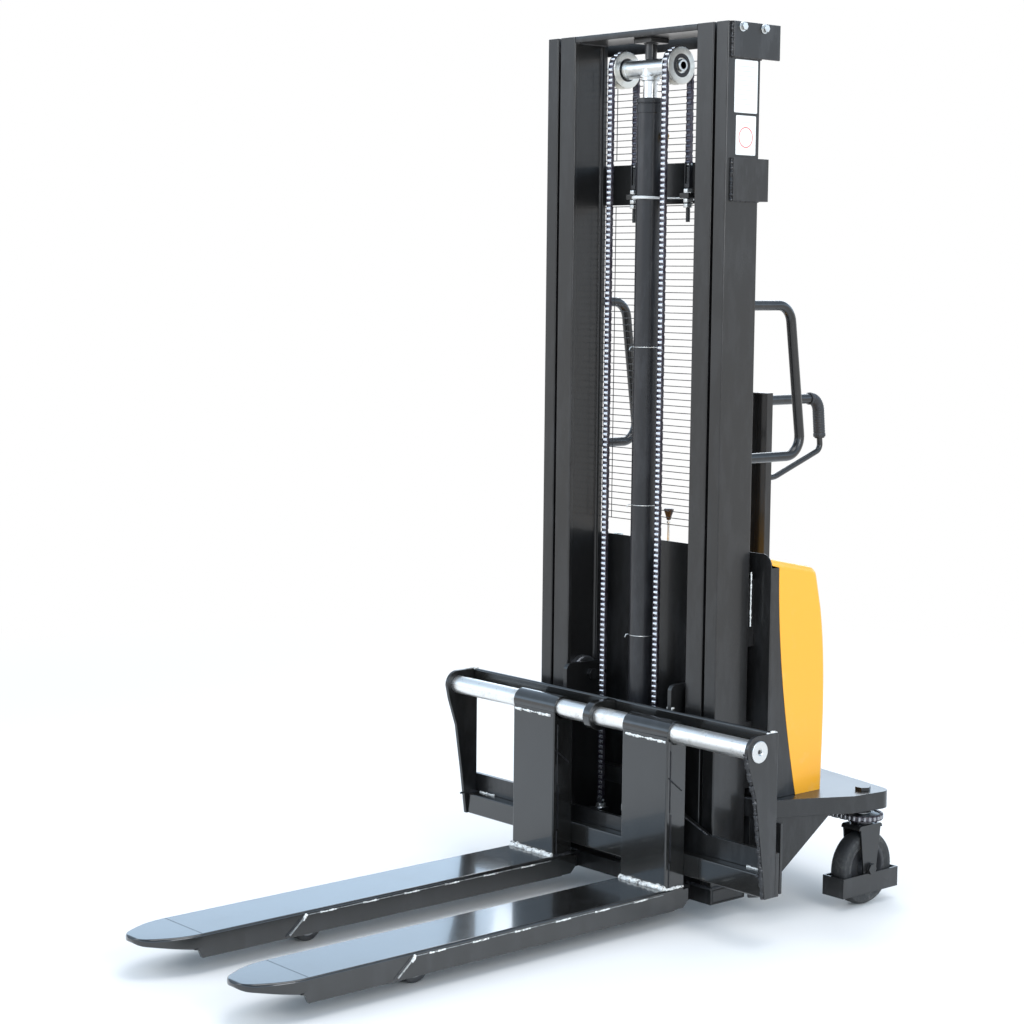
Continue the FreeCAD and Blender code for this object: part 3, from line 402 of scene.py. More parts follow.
@dataclass(frozen=True)
class WeldMetal(Finish):
    """A weld bead: bright where bare, dark where painted over."""

    colour: Colour = (0.62, 0.60, 0.57)
    burnt: Colour = (0.09, 0.075, 0.07)
    metal: float = 0.75
    rough: float = 0.42

    def paint(self, g: Graph) -> None:
        """Mix bead metal with burnt spots."""
        burn = g.noise(120.0, 5.0).over(0.5, 0.66)
        base = g.mix(burn * 0.75, self.colour, self.burnt)
        g.feed(Base_Color=base, Metallic=self.metal, Roughness=self.rough + burn * 0.2,
            Normal=g.bump(g.noise(420.0, 4.0), 0.35, 0.0006))


@dataclass(frozen=True)
class Sticker(Finish):
    """A printed vinyl label, faded and dusty, with no print of its own."""

    colour: Colour = (0.80, 0.80, 0.77)

    def paint(self, g: Graph) -> None:
        """Fade the vinyl unevenly."""
        patches = g.noise(40.0, 4.0)
        base = g.mix(patches.over(0.45, 0.8) * 0.25, self.colour, (0.55, 0.54, 0.50))
        g.feed(Base_Color=base, Roughness=0.42 + patches * 0.15, Normal=g.bump(g.noise(250.0), 0.06, 0.0003))


@dataclass(frozen=True)
class StudioFloor(Finish):
    """A pale, almost even studio floor."""

    colour: Colour = (0.88, 0.85, 0.81)
    near: float = 1.6
    far: float = 4.6

    def paint(self, g: Graph) -> None:
        """Let the floor turn into plain white light far from the object."""
        spread = g.noise(0.8, 3.0)
        g.feed(Base_Color=g.mix(spread * 0.05, self.colour, (0.80, 0.78, 0.74)), Roughness=0.7 + spread * 0.1)
        x, y = g.part(Axis.X), g.part(Axis.Y)
        away = ((x * x + y * y) ** 0.5).over(self.near, self.far)
        glow = g.node("ShaderNodeEmission", None, {"Color": (1.0, 1.0, 1.0), "Strength": 1.0})
        g.cover(away, glow)


BLACK = Enamel("black_enamel", "frame_paint", colour=(0.0085, 0.0082, 0.0080), coat=0.25)
SATIN_BLACK = Enamel("satin_black_enamel", "frame_paint", rough=0.32, coat=0.1, wear=0.08)
FORK_BLACK = Enamel("fork_enamel", "frame_paint", colour=(0.011, 0.0105, 0.0095), rough=0.16, coat=0.7, wear=0.06,
    peel=0.04)
GREY = Enamel("pump_enamel", "pump_paint", colour=(0.06, 0.062, 0.068), rough=0.4, coat=0.05)
YELLOW = CoverEnamel("yellow_enamel", "cover_paint")
ZINC = BrightMetal("bright_zinc", "zinc_steel")
BAR_STEEL = BrightMetal("plated_bar", "ground_steel", colour=(0.93, 0.92, 0.89), dull=(0.62, 0.60, 0.56),
    grain=(0.02, 1.0, 1.0), spots=0.75, rough=0.28)
ROD_STEEL = BrightMetal("chromed_rod", "ground_steel", colour=(0.82, 0.83, 0.84), rough=0.12, spots=0.1,
    grain=(1.0, 1.0, 0.05))
TURNED = BrightMetal("turned_steel", "roller_steel", colour=(0.32, 0.32, 0.33), dull=(0.14, 0.13, 0.12), rough=0.34)
CHAIN_PLATE = OiledSteel("chain_plates", "chain_steel")
CHAIN_ROLLER = BrightMetal("chain_rollers", "chain_steel", colour=(0.78, 0.78, 0.80), dull=(0.45, 0.44, 0.47),
    rough=0.2, spots=0.3)
TYRE = Rubber("tyre_rubber", "rubber", texture=0.5, dusty=0.65)
GRIP = Rubber("grip_rubber", "rubber", colour=(0.022, 0.022, 0.024), rough=0.52, texture=0.3, dusty=0.2)
NYLON = Rubber("roller_nylon", "nylon", colour=(0.03, 0.03, 0.032), rough=0.42, texture=0.2, dusty=0.45)
KNOB = Rubber("knob_plastic", "black_plastic", colour=(0.030, 0.012, 0.008), rough=0.3, texture=0.08, dusty=0.1)
PLASTIC = Rubber("black_plastic", "black_plastic", rough=0.45, texture=0.12, dusty=0.25)
BUTTON = BrightMetal("button_metal", "black_plastic", colour=(0.42, 0.44, 0.42), rough=0.3, spots=0.2)
SEAM_WELD = WeldMetal("seam_weld", "frame_paint", colour=(0.30, 0.30, 0.29), burnt=(0.05, 0.05, 0.05), metal=0.3,
    rough=0.3)
BARE_WELD = WeldMetal("bare_weld", "frame_paint", colour=(0.85, 0.84, 0.80), metal=0.25, rough=0.38)
DARK_WELD = WeldMetal("painted_weld", "frame_paint", colour=(0.018, 0.018, 0.020), burnt=(0.010, 0.010, 0.010),
    metal=0.0, rough=0.30)
PULLEY_STEEL = BrightMetal("pulley_zinc", "zinc_steel", colour=(0.80, 0.79, 0.74), dull=(0.55, 0.54, 0.50), rough=0.3)
# Darker bluish roller finish for the rear chain runs: painted shade, since the rear runs face away from the light.
SHADED_ROLLERS = OiledSteel("oiled_rollers", "chain_steel", colour=(0.10, 0.11, 0.15), rough=0.35)
BRASS = BrightMetal("brass_fitting", "zinc_steel", colour=(0.55, 0.38, 0.16), dull=(0.30, 0.2, 0.1), rough=0.3)
TIE_WHITE = Rubber("tie_plastic", "nylon", colour=(0.72, 0.72, 0.70), dust=(0.5, 0.49, 0.46), rough=0.4, texture=0.05,
    dusty=0.2)
LABEL = Sticker("label_vinyl", "zinc_steel")
LABEL_GREY = Sticker("label_grey", "zinc_steel", colour=(0.62, 0.63, 0.65))
LABEL_RED = Sticker("label_red", "zinc_steel", colour=(0.62, 0.05, 0.045))
FLOOR = StudioFloor("studio_floor", "frame_paint")


# ---- mesh building

def corner_path(points: Sequence[Vector], radii: Sequence[float], closed: bool, steps: int = 6) -> list[Vector]:
    """Round the corners of a path with arcs.

    Args:
        points: the corners.
        radii: the radius at each corner, 0 for a sharp one.
        closed: whether the last corner joins the first.
        steps: number of straight pieces in each arc.

    Returns:
        The points of the rounded path.
    """
    path: list[Vector] = []
    count = len(points)
    for i, corner in enumerate(points):
        if radii[i] <= 0 or (not closed and i in (0, count - 1)):
            path.append(corner.copy())
            continue
        back = (points[i - 1] - corner).normalized()
        ahead = (points[(i + 1) % count] - corner).normalized()
        half = back.angle(ahead) / 2
        centre = corner + (back + ahead).normalized() * (radii[i] / math.sin(half))
        first = corner + back * (radii[i] / math.tan(half)) - centre
        last = corner + ahead * (radii[i] / math.tan(half)) - centre
        turn = first.angle(last)
        for step in range(steps + 1):
            share = step / steps
            path.append(centre + (first * math.sin(turn * (1 - share)) + last * math.sin(turn * share))
                / math.sin(turn))
    return path


def outline(points: Sequence[Sequence[float]], steps: int = 6) -> list[Point2]:
    """A closed plane outline from (u, v) corners, where a third number rounds a corner."""
    corners = [Vector((p[0], p[1], 0.0)) for p in points]
    radii = [p[2] if len(p) > 2 else 0.0 for p in points]
    return [(p.x, p.y) for p in corner_path(corners, radii, True, steps)]


def rectangle(u0: float, u1: float, v0: float, v1: float, radius: float = 0.0) -> list[tuple[float, ...]]:
    """The corners of a rectangle, rounded by one radius."""
    return [(u0, v0, radius), (u1, v0, radius), (u1, v1, radius), (u0, v1, radius)]


def circle(u: float, v: float, radius: float, count: int = 32) -> list[Point2]:
    """Points of a circle in a plane."""
    return [(u + radius * math.cos(2 * math.pi * i / count),
        v + radius * math.sin(2 * math.pi * i / count)) for i in range(count)]


def ring(axis: Axis, u: float, v: float, along: float, radius: float, count: int = 24) -> list[Vector]:
    """The points of a circle round an axis, with the first one again at the end."""
    rim = circle(u, v, radius, count)
    return [axis.place(*p, along) for p in (*rim, rim[0])]


def join(part: bmesh.types.BMesh, rings: Sequence[Sequence[Any]], capped: bool = True, closed: bool = False) -> None:
    """Skin a row of equal rings of vertices.

    Args:
        part: the mesh that holds them.
        rings: the rings.
        capped: whether the first and the last ring get a face.
        closed: whether the last ring joins the first.
    """
    for first, second in [*zip(rings, rings[1:]), *([(rings[-1], rings[0])] if closed else [])]:
        for k in range(len(first)):
            part.faces.new((first[k - 1], first[k], second[k], second[k - 1]))
    if capped and not closed:
        part.faces.new(rings[0])
        part.faces.new(rings[-1])


def symmetric(half: Sequence[Point2], width: float) -> list[Point2]:
    """A turned profile completed by its mirror image across its width."""
    return [*half, *((radius, width - along) for radius, along in reversed(half))]


def wobble(*seeds: float) -> float:
    """A repeatable pseudo-random number between -1 and 1."""
    value = math.sin(sum(s * k for s, k in zip(seeds, (12.9898, 78.233, 37.719, 9.131)))) * 43758.5453
    return 2 * (value - math.floor(value)) - 1


@dataclass
class Box:
    """The two corners of a CAD node at rest."""

    low: Vector
    high: Vector

    @classmethod
    def of(cls, node: str) -> "Box":
        """The box of a node."""
        return cls(*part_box(node))

    @property
    def middle(self) -> Vector:
        """Its centre."""
        return (self.low + self.high) / 2

    @property
    def size(self) -> Vector:
        """Its edge lengths."""
        return self.high - self.low


class Shape:
    """A mesh under construction: solids with rounded edges, each in its own finish."""

    def __init__(self) -> None:
        """Start with nothing."""
        self.bm = bmesh.new()
        self.finishes: list[Finish] = []

    def _index(self, finish: Finish) -> int:
        """The material index of a finish in this shape."""
        if finish not in self.finishes:
            self.finishes.append(finish)
        return self.finishes.index(finish)

    def add(self, part: bmesh.types.BMesh, finish: Finish, bevel: float = 0.0, segments: int = 2) -> "Shape":
        """Take in one closed solid.

        Args:
            part: the solid, which is used up.
            finish: its finish.
            bevel: radius of its outer edges.
            segments: number of strips in each rounded edge.

        Returns:
            This shape.
        """
        bmesh.ops.recalc_face_normals(part, faces=part.faces)
        if bevel > 0:
            sharp = [e for e in part.edges if e.is_manifold and e.calc_face_angle(0.0) > SHARP]
            bmesh.ops.bevel(part, geom=sharp, offset=bevel, segments=segments, profile=0.5, affect="EDGES",
                clamp_overlap=True)
        index = self._index(finish)
        for face in part.faces:
            face.material_index = index
        self._take(part)
        return self

    def _take(self, part: bmesh.types.BMesh) -> None:
        """Copy a bmesh into this shape and free it."""
        mesh = bpy.data.meshes.new("part")
        part.to_mesh(mesh)
        part.free()
        self.bm.from_mesh(mesh)
        bpy.data.meshes.remove(mesh)

    def prism(self, points: Sequence[Sequence[float]], axis: Axis, start: float, end: float, finish: Finish,
            bevel: float = 0.0, holes: Sequence[Sequence[Point2]] = ()) -> "Shape":
        """A plate of any outline, with an edge radius and holes."""
        part = bmesh.new()
        rim = outline(points) if any(len(p) > 2 for p in points) else [tuple(p) for p in points]
        loops = [rim, *holes]
        edges = []
        for loop in loops:
            made = [part.verts.new(axis.place(u, v, start)) for u, v in loop]
            edges += [part.edges.new((made[i - 1], made[i])) for i in range(len(made))]
        if holes:
            bmesh.ops.triangle_fill(part, edges=edges, use_beauty=True)
            bmesh.ops.dissolve_limit(part, angle_limit=0.01, verts=part.verts, edges=part.edges)
        else:
            part.faces.new(part.verts)
        grown = bmesh.ops.extrude_face_region(part, geom=part.faces[:])
        moved = [v for v in grown["geom"] if isinstance(v, bmesh.types.BMVert)]
        bmesh.ops.translate(part, verts=moved, vec=axis.place(0.0, 0.0, end - start))
        return self.add(part, finish, bevel)

    def block(self, low: Sequence[float], high: Sequence[float], finish: Finish, bevel: float = 0.0015) -> "Shape":
        """A block between two corners."""
        part = bmesh.new()
        bmesh.ops.create_cube(part, size=1.0)
        low, high = Vector(low), Vector(high)
        for vert in part.verts:
            vert.co = Vector([(low[i] + high[i]) / 2 + vert.co[i] * (high[i] - low[i]) for i in range(3)])
        return self.add(part, finish, bevel)

    def lathe(self, profile: Sequence[Point2], centre: Sequence[float], axis: Axis, finish: Finish,
            count: int = 40) -> "Shape":
        """A turned solid.

        Args:
            profile: (radius, distance along the axis) points; the ends close onto the axis or each other.
            centre: the point that distance 0 stands for.
            axis: the axis of turning.
            finish: its finish.
            count: number of facets round it.

        Returns:
            This shape.
        """
        part = bmesh.new()
        centre = Vector(centre)
        closed = profile[0][0] > 0
        rings = []
        for radius, along in profile:
            if radius <= 0:
                rings.append([part.verts.new(centre + axis.place(0.0, 0.0, along))])
            else:
                rings.append([part.verts.new(centre + axis.place(u, v, along)) for u,
                    v in circle(0.0, 0.0, radius, count)])
        pairs = list(zip(rings, rings[1:])) + ([(rings[-1], rings[0])] if closed else [])
        for first, second in pairs:
            for i in range(count):
                corners = [first[i % len(first)], first[(i + 1) % len(first)] if len(first) > 1 else None,
                    second[(i + 1) % len(second)] if len(second) > 1 else None, second[i % len(second)]]
                corners = [c for c in corners if c is not None]
                if len(set(corners)) > 2:
                    part.faces.new(corners)
        return self.add(part, finish)

    def rod(self, radius: float, start: Sequence[float], length: float, axis: Axis, finish: Finish,
            edge: float = 0.001, bore: float = 0.0, count: int = 40) -> "Shape":
        """A round bar or ring with chamfered ends, along an axis from its start."""
        inner = [(bore, length), (bore, 0.0)] if bore > 0 else [(0.0, length)]
        first = [] if bore > 0 else [(0.0, 0.0)]
        profile = first + [(radius - edge, 0.0), (radius, edge), (radius, length - edge), (radius - edge, length)]
        return self.lathe(profile + inner, start, axis, finish, count)

    def tube(self, path: Sequence[Vector], radius: Union[float, Callable[[int], float]], finish: Finish,
            count: int = 16, closed: bool = False) -> "Shape":
        """A round tube along a path; radius may be a function of the point's number."""
        part = bmesh.new()
        rings = []
        total = len(path)
        size = radius if callable(radius) else (lambda i: radius)
        side: Optional[Vector] = None
        for i, point in enumerate(path):
            ahead = path[(i + 1) % total] if closed or i + 1 < total else point
            behind = path[i - 1] if closed or i else point
            heading = (ahead - behind).normalized()
            if side is None:
                side = heading.orthogonal().normalized()
            side = (side - heading * side.dot(heading)).normalized()
            up = heading.cross(side)
            rings.append([part.verts.new(point + (side * u + up * v) * size(i)) for u,
                v in circle(0.0, 0.0, 1.0, count)])
        join(part, rings, closed=closed)
        return self.add(part, finish)

    def weld(self, points: Sequence[Sequence[float]], width: float, finish: Finish, rough: float = 0.35,
            pitch: float = 0.006) -> "Shape":
        """A rippled weld bead through points, half sunk in what it joins."""
        corners = [Vector(p) for p in points]
        path: list[Vector] = []
        step = pitch / 4
        for first, second in zip(corners, corners[1:]):
            count = max(1, round((second - first).length / step))
            path += [first.lerp(second, i / count) for i in range(count)]
        path.append(corners[-1])
        seed = points[0][0] + points[0][2]
        shifted = [p + Vector([wobble(i // 3, k, seed) for k in range(3)]) * width * 0.10 * rough for i,
            p in enumerate(path)]

        def bead(i: int) -> float:
            """Radius of the bead at one point of its path."""
            ripple = abs(math.sin(math.pi * i / 4 + 0.3))
            return width / 2 * (0.78 + 0.22 * ripple + rough * 0.3 * wobble(i // 4, seed))

        return self.tube(shifted, bead, finish, 8)

    def hexagon(self, width: float, centre: Sequence[float], axis: Axis, start: float, end: float,
            finish: Finish) -> "Shape":
        """A hexagonal nut or bolt head with rounded corners, between two distances from its centre."""
        points = circle(0.0, 0.0, width / math.sqrt(3), 6)
        base = Vector(centre)
        plane = [i for i in range(3) if i != axis.value]
        shifted = [(u + base[plane[0]], v + base[plane[1]]) for u, v in points]
        return self.prism(shifted, axis, base[axis.value] + start, base[axis.value] + end, finish, width * 0.06)

    def bolt(self, width: float, seat: Sequence[float], axis: Axis, sign: int, finish: Finish) -> "Shape":
        """A hexagon bolt head on its washer, standing off a seat along an axis."""
        washer, head = width * 0.12, width * 0.62
        ends = sorted((0.0, sign * washer))
        self.rod(width * 0.72, Vector(seat) + axis.place(0, 0, ends[0]), ends[1] - ends[0], axis, finish,
            washer * 0.3, count=28)
        low, high = sorted((sign * washer, sign * head))
        return self.hexagon(width, seat, axis, low, high, finish)

    def node(self, name: str, finish: Finish, bevel: float = 0.0, segments: int = 2) -> "Shape":
        """The solids of a CAD node with clean faces and rounded edges."""
        part = bmesh.new()
        part.from_mesh(frame["nodes"][name].data)
        bmesh.ops.remove_doubles(part, verts=part.verts, dist=0.00001)
        bmesh.ops.dissolve_limit(part, angle_limit=math.radians(0.6), verts=part.verts, edges=part.edges)
        return self.add(part, finish, bevel, segments)

    def mirrored(self) -> "Shape":
        """This shape with its mirror image added."""
        mesh = bpy.data.meshes.new("half")
        self.bm.to_mesh(mesh)
        mesh.transform(Matrix.Scale(-1.0, 4, (1.0, 0.0, 0.0)))
        mesh.flip_normals()
        self.bm.from_mesh(mesh)
        bpy.data.meshes.remove(mesh)
        return self

    def flipped(self) -> "Shape":
        """This shape turned into its mirror image."""
        bmesh.ops.transform(self.bm, matrix=Matrix.Scale(-1.0, 4, (1.0, 0.0, 0.0)), verts=self.bm.verts)
        bmesh.ops.reverse_faces(self.bm, faces=self.bm.faces)
        return self

    def on(self, side: Side) -> "Shape":
        """This right-hand shape, turned round if it is for the left side."""
        return self.flipped() if side is Side.LEFT else self

    def cut(self, cutter: "Shape") -> "Shape":
        """Take away what another shape covers."""
        objects = []
        for shape in (self, cutter):
            mesh = bpy.data.meshes.new("operand")
            shape.bm.to_mesh(mesh)
            shape.bm.free()
            objects.append(bpy.data.objects.new("operand", mesh))
            bpy.context.scene.collection.objects.link(objects[-1])
        tool = objects[0].modifiers.new("cut", "BOOLEAN")
        tool.operation, tool.object, tool.solver = "DIFFERENCE", objects[1], "EXACT"
        graph = bpy.context.evaluated_depsgraph_get()
        graph.update()
        result = bpy.data.meshes.new_from_object(objects[0].evaluated_get(graph))
        self.bm = bmesh.new()
        self.bm.from_mesh(result)
        for made in [o.data for o in objects] + [result]:
            bpy.data.meshes.remove(made)
        return self

    def piece(self, name: str, body: str, replaces: Sequence[str] = (), slot: Optional[str] = None,
            weighted: bool = True) -> bpy.types.Object:
        """Finish the mesh as one visible piece.

        Args:
            name: the piece's name.
            body: the body that it rides on.
            replaces: the CAD nodes that it stands for.
            slot: not used.
            weighted: whether flat faces keep their own shading beside rounded edges.

        Returns:
            The object.
        """
        mesh = bpy.data.meshes.new(name)
        for face in self.bm.faces:
            face.smooth = True
        self.bm.to_mesh(mesh)
        self.bm.free()
        for finish in self.finishes:
            mesh.materials.append(finish.material())
        mesh.set_sharp_from_angle(angle=math.radians(38))
        made = bpy.data.objects.new(name, mesh)
        bpy.context.scene.collection.objects.link(made)
        if weighted:
            modifier = made.modifiers.new("flat_faces", "WEIGHTED_NORMAL")
            modifier.keep_sharp = True
            modifier.weight = 80
        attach(made, body)
        if replaces:
            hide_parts(*replaces)
        LOG.info("%s rides on %s with %d faces", name, body, len(mesh.polygons))
        return made


@dataclass
class Assembly:
    """A group of pieces that belong together."""

    def build(self) -> None:
        """Make every piece of the group."""
        raise NotImplementedError


# ---- mast

@dataclass
class Mast(Assembly):
    """The fixed and the rising columns with their ties, beams, bolts and labels."""

    flange: float = 0.012
    outer_web: float = 0.010
    inner_web: float = 0.008
    corner: float = 0.0035
    seam: float = 0.0
    seam_gap: float = 0.008
    root: float = 0.007
    pin: float = 0.0125
    roller_width: float = 0.028
    tie_edge: float = 0.0015
    weld_width: float = 0.007

    def build(self) -> None:
        """Make both stages."""
        outer, inner = Box.of("outer_column_right"), Box.of("inner_column_right")
        self.seam = inner.low.x + 0.54 * (outer.high.x - inner.low.x)
        for side in Side:
            self.outer_column(side)
            self.inner_column(side)
        self.ties()
        self.bolts()
        self.beams()
        self.labels()

    def channel(self, box: Box) -> list[tuple[float, ...]]:
        """The section of a rolled channel that is open towards the machine's middle."""
        x0, x1, y0, y1 = box.low.x, box.high.x, box.low.y, box.high.y
        inside, lip, seam = x1 - self.outer_web, self.corner / 2, self.seam + self.seam_gap
        return [(seam, y0, self.corner), (x1, y0, self.corner), (x1, y1, self.corner), (x0, y1, lip),
            (x0, y1 - self.flange, lip), (inside, y1 - self.flange, self.root), (inside, y0 + self.flange, self.root),
            (seam, y0 + self.flange, lip)]

    def beam_section(self, x0: float, x1: float, y0: float, y1: float) -> list[tuple[float, ...]]:
        """The section of a rolled I beam."""
        middle, lip = (x0 + x1) / 2, self.corner / 2
        left, right = middle - self.inner_web / 2, middle + self.inner_web / 2
        low, high = y0 + self.flange, y1 - self.flange
        return [(x0, y0, self.corner), (self.seam, y0, self.corner), (self.seam, low, lip), (right, low, self.root),
            (right, high, self.root), (x1, high, lip), (x1, y1, lip), (x0, y1, lip), (x0, high, lip),
            (left, high, self.root), (left, low, self.root), (x0, low, lip)]

    def outer_column(self, side: Side) -> None:
        """One fixed channel with the pin of its top roller and its foot welds."""
        box = Box.of("outer_column_right")
        roller = Box.of("outer_mast_rollers")
        shape = Shape()
        shape.prism(self.channel(box), Axis.Z, box.low.z, box.high.z, BLACK, 0.0008)
        start = roller.high.x - self.roller_width
        shape.rod(self.pin, (start, box.middle.y, roller.middle.z), box.high.x - self.outer_web - start, Axis.X,
            TURNED)
        foot = box.low.z + 0.002
        shape.weld([(box.low.x + 0.004, box.low.y, foot), (box.high.x, box.low.y, foot)], self.weld_width, DARK_WELD)
        shape.weld([(box.high.x, box.low.y, foot), (box.high.x, box.high.y, foot)], self.weld_width, DARK_WELD)
        shape.on(side).piece(f"outer_column.{side.word}", "chassis", [f"outer_column_{side.word}"])

    def inner_column(self, side: Side) -> None:
        """One rising I section with the pin of its foot roller."""
        box = Box.of("inner_column_right")
        roller = Box.of("inner_mast_rollers")
        flange_end = Box.of("outer_column_right").low.x - 0.004
        shape = Shape()
        shape.prism(self.beam_section(box.low.x, flange_end, box.low.y, box.high.y), Axis.Z, box.low.z, box.high.z,
            BLACK, 0.0008)
        start = (box.low.x + flange_end) / 2
        shape.rod(self.pin, (start, box.middle.y, roller.middle.z), box.high.x - start, Axis.X, TURNED)
        shape.on(side).piece(f"inner_column.{side.word}", "inner_mast", [f"inner_column_{side.word}"])

    def ties(self) -> None:
        """The plates that join the fixed columns, with the welds on their edges."""
        column = Box.of("outer_column_right")
        for name in ("top_tie", "middle_tie"):
            box = Box.of(name)
            shape = Shape().node(name, BLACK, self.tie_edge)
            welds = Shape()
            front = box.low.y + 0.0005
            welds.weld([(column.high.x + 0.001, front, box.low.z), (column.high.x + 0.001, front, box.high.z)], 0.009,
                DARK_WELD, 0.8)
            welds.weld([(column.high.x, front, box.low.z), (column.high.x, column.high.y, box.low.z)], 0.005,
                DARK_WELD, 0.6)
            welds.weld([(column.high.x - 0.03, column.high.y + 0.001, box.low.z + 0.003),
                (column.high.x - 0.03, column.high.y + 0.001, box.high.z - 0.003)], 0.006, DARK_WELD)
            welds.mirrored().piece(f"{name}.welds", "chassis")
            shape.piece(f"{name}.plates", "chassis", [name])

    def bolts(self) -> None:
        """The bolts that clamp the top tie."""
        box = Box.of("tie_bolts")
        radius, depth = 0.0105, 0.008
        shape = Shape()
        for y in (box.low.y + radius, box.high.y - radius):
            shape.bolt(0.0156, (box.high.x - depth, y, box.middle.z - 0.0014), Axis.X, 1, ZINC)
        shape.mirrored().piece("top_tie.bolts", "chassis", ["tie_bolts"])

    def beams(self) -> None:
        """The beam under the mast and the two cross beams of the rising stage."""
        foot = Box.of("foot_beam")
        shape = Shape().node("foot_beam", BLACK, 0.002)
        column = Box.of("outer_column_right")
        shape.weld([(column.low.x, foot.low.y, foot.high.z), (column.high.x, foot.low.y, foot.high.z)],
            self.weld_width, DARK_WELD)
        for sign in (-1, 1):
            ends = sorted((sign * (foot.high.x - 0.005), sign * foot.high.x))
            shape.block((ends[0], foot.low.y + 0.003, foot.low.z + 0.003), (ends[1], foot.high.y - 0.003,
                foot.high.z - 0.003), BLACK, 0.001)
        shape.piece("foot_beam.tube", "chassis", ["foot_beam"])
        for name in ("inner_top_beam", "inner_lower_beam"):
            box = Box.of(name)
            shape = Shape().node(name, BLACK, 0.0025)
            for x in (box.low.x, box.high.x):
                shape.weld([(x, box.low.y + 0.004, box.low.z), (x, box.high.y - 0.004, box.low.z)], 0.006, DARK_WELD)
            shape.piece(f"{name}.bar", "inner_mast", [name])

    def labels(self) -> None:
        """Two blank printed plates on the right column."""
        column = Box.of("outer_column_right")
        face = column.high.x
        sheet = 0.0005
        for name, y0, y1, z0, z1 in (("upper", 0.024, 0.100, 1.877, 1.996), ("lower", 0.031, 0.097, 1.782, 1.871)):
            y0, y1 = column.low.y + y0, column.low.y + y1
            shape = Shape()
            shape.prism(rectangle(y0, y1, z0, z1, 0.003), Axis.X, face, face + sheet, LABEL)
            rows = 9 if name == "upper" else 1
            for row in range(rows):
                z = z1 - 0.014 - row * (z1 - z0 - 0.024) / rows
                end = y1 - 0.008 - 0.016 * abs(wobble(row, z0))
                shape.prism(rectangle(y0 + 0.008, end, z - 0.0022, z, 0.0004), Axis.X, face + sheet * 0.5,
                    face + sheet * 1.3, LABEL_GREY)
            if name == "lower":
                middle, height = (y0 + y1) / 2, z0 + (z1 - z0) * 0.45
                shape.prism(circle(middle, height, 0.0235, 40), Axis.X, face + sheet * 0.5, face + sheet * 1.3,
                    LABEL_RED, 0.0, [circle(middle, height, 0.0215, 40)])
            shape.piece(f"label.{name}", "chassis")


@dataclass
class GuideRollers(Assembly):
    """The steel rollers that run in the columns, each a bearing with a crowned tread."""

    width: float = 0.028
    bore: float = 0.01255
    nodes: tuple[tuple[str, str], ...] = (("outer_mast_rollers", "outer_rollers"), ("inner_mast_rollers",
        "inner_rollers"), ("upper_carriage_rollers", "upper_rollers"), ("lower_carriage_rollers", "lower_rollers"))

    def build(self) -> None:
        """Make each pair."""
        for node, body in self.nodes:
            box = Box.of(node)
            radius = box.size.z / 2
            race = radius * 0.62
            start = box.high.x - self.width
            profile = [(self.bore, 0.0), (race - 0.008, 0.0), (race - 0.008, 0.002), (race, 0.002), (race, 0.0),
                (radius - 0.003, 0.0), (radius, 0.003)]
            shape = Shape().lathe(symmetric(profile, self.width), (start, box.middle.y, box.middle.z), Axis.X, TURNED, 48)
            shape.mirrored().piece(f"{node}.pair", body, [node])


# ---- chains

@dataclass
class ChainMaker:
    """Roller chain with figure-of-eight plates, built link by link along a row of pins."""

    pitch: float = 0.0127
    roller: float = 0.0044
    roller_half: float = 0.0062
    plate: float = 0.0011
    plate_high: float = 0.0043
    waist: float = 0.0034
    pin: float = 0.0019
    pin_half: float = 0.0085
    core: float = 0.0015
    roller_finish: Finish = CHAIN_ROLLER

    def plate_outline(self) -> list[Point2]:
        """Half-height and length points of a side plate between two pins."""
        ends = []
        for i in range(7):
            angle = math.radians(-60 + i * 20)
            ends.append((self.pitch + self.plate_high * math.cos(angle), self.plate_high * math.sin(angle)))
        right = [(self.pitch / 2, -self.waist)] + ends + [(self.pitch / 2, self.waist)]
        left = [(self.pitch - u, -v) for u, v in ends]
        return right + left

    def links(self, shape: Shape, pins: Sequence[Vector], axis: Vector) -> None:
        """Add rollers and plates.

        Args:
            shape: the shape that takes them.
            pins: the places of the pins, one pitch apart.
            axis: the direction of the pins.
        """
        part = bmesh.new()
        rollers = bmesh.new()
        for i, (first, second) in enumerate(zip(pins, pins[1:])):
            along = (second - first).normalized()
            up = axis.cross(along)
            self.cylinder(rollers, first, axis, up, along, self.roller, self.roller_half, 12)
            self.cylinder(part, first, axis, up, along, self.pin, self.pin_half, 8)
            inner = self.roller_half + (0.0002 if i % 2 else self.plate + 0.0004)
            core = rectangle(0.0, self.pitch, -self.core, self.core)
            slabs = [(self.plate_outline(), sign * inner, sign * (inner + self.plate)) for sign in (-1, 1)]
            for rim, low, high in (*slabs, (core, 0.0004 - self.roller_half, self.roller_half - 0.0004)):
                rims = [[part.verts.new(first + along * p[0] + up * p[1] + axis * w) for p in rim] for w in (low,
                    high)]
                join(part, rims)
        shape.add(part, CHAIN_PLATE)
        shape.add(rollers, self.roller_finish)

    @staticmethod
    def cylinder(part: bmesh.types.BMesh, centre: Vector, axis: Vector, up: Vector, along: Vector, radius: float,
            half: float, count: int) -> None:
        """Add one short cylinder centred on a pin."""
        rims = [[part.verts.new(centre + axis * w + up * u + along * v) for u, v in circle(0, 0, radius,
            count)] for w in (-half, half)]
        join(part, rims)


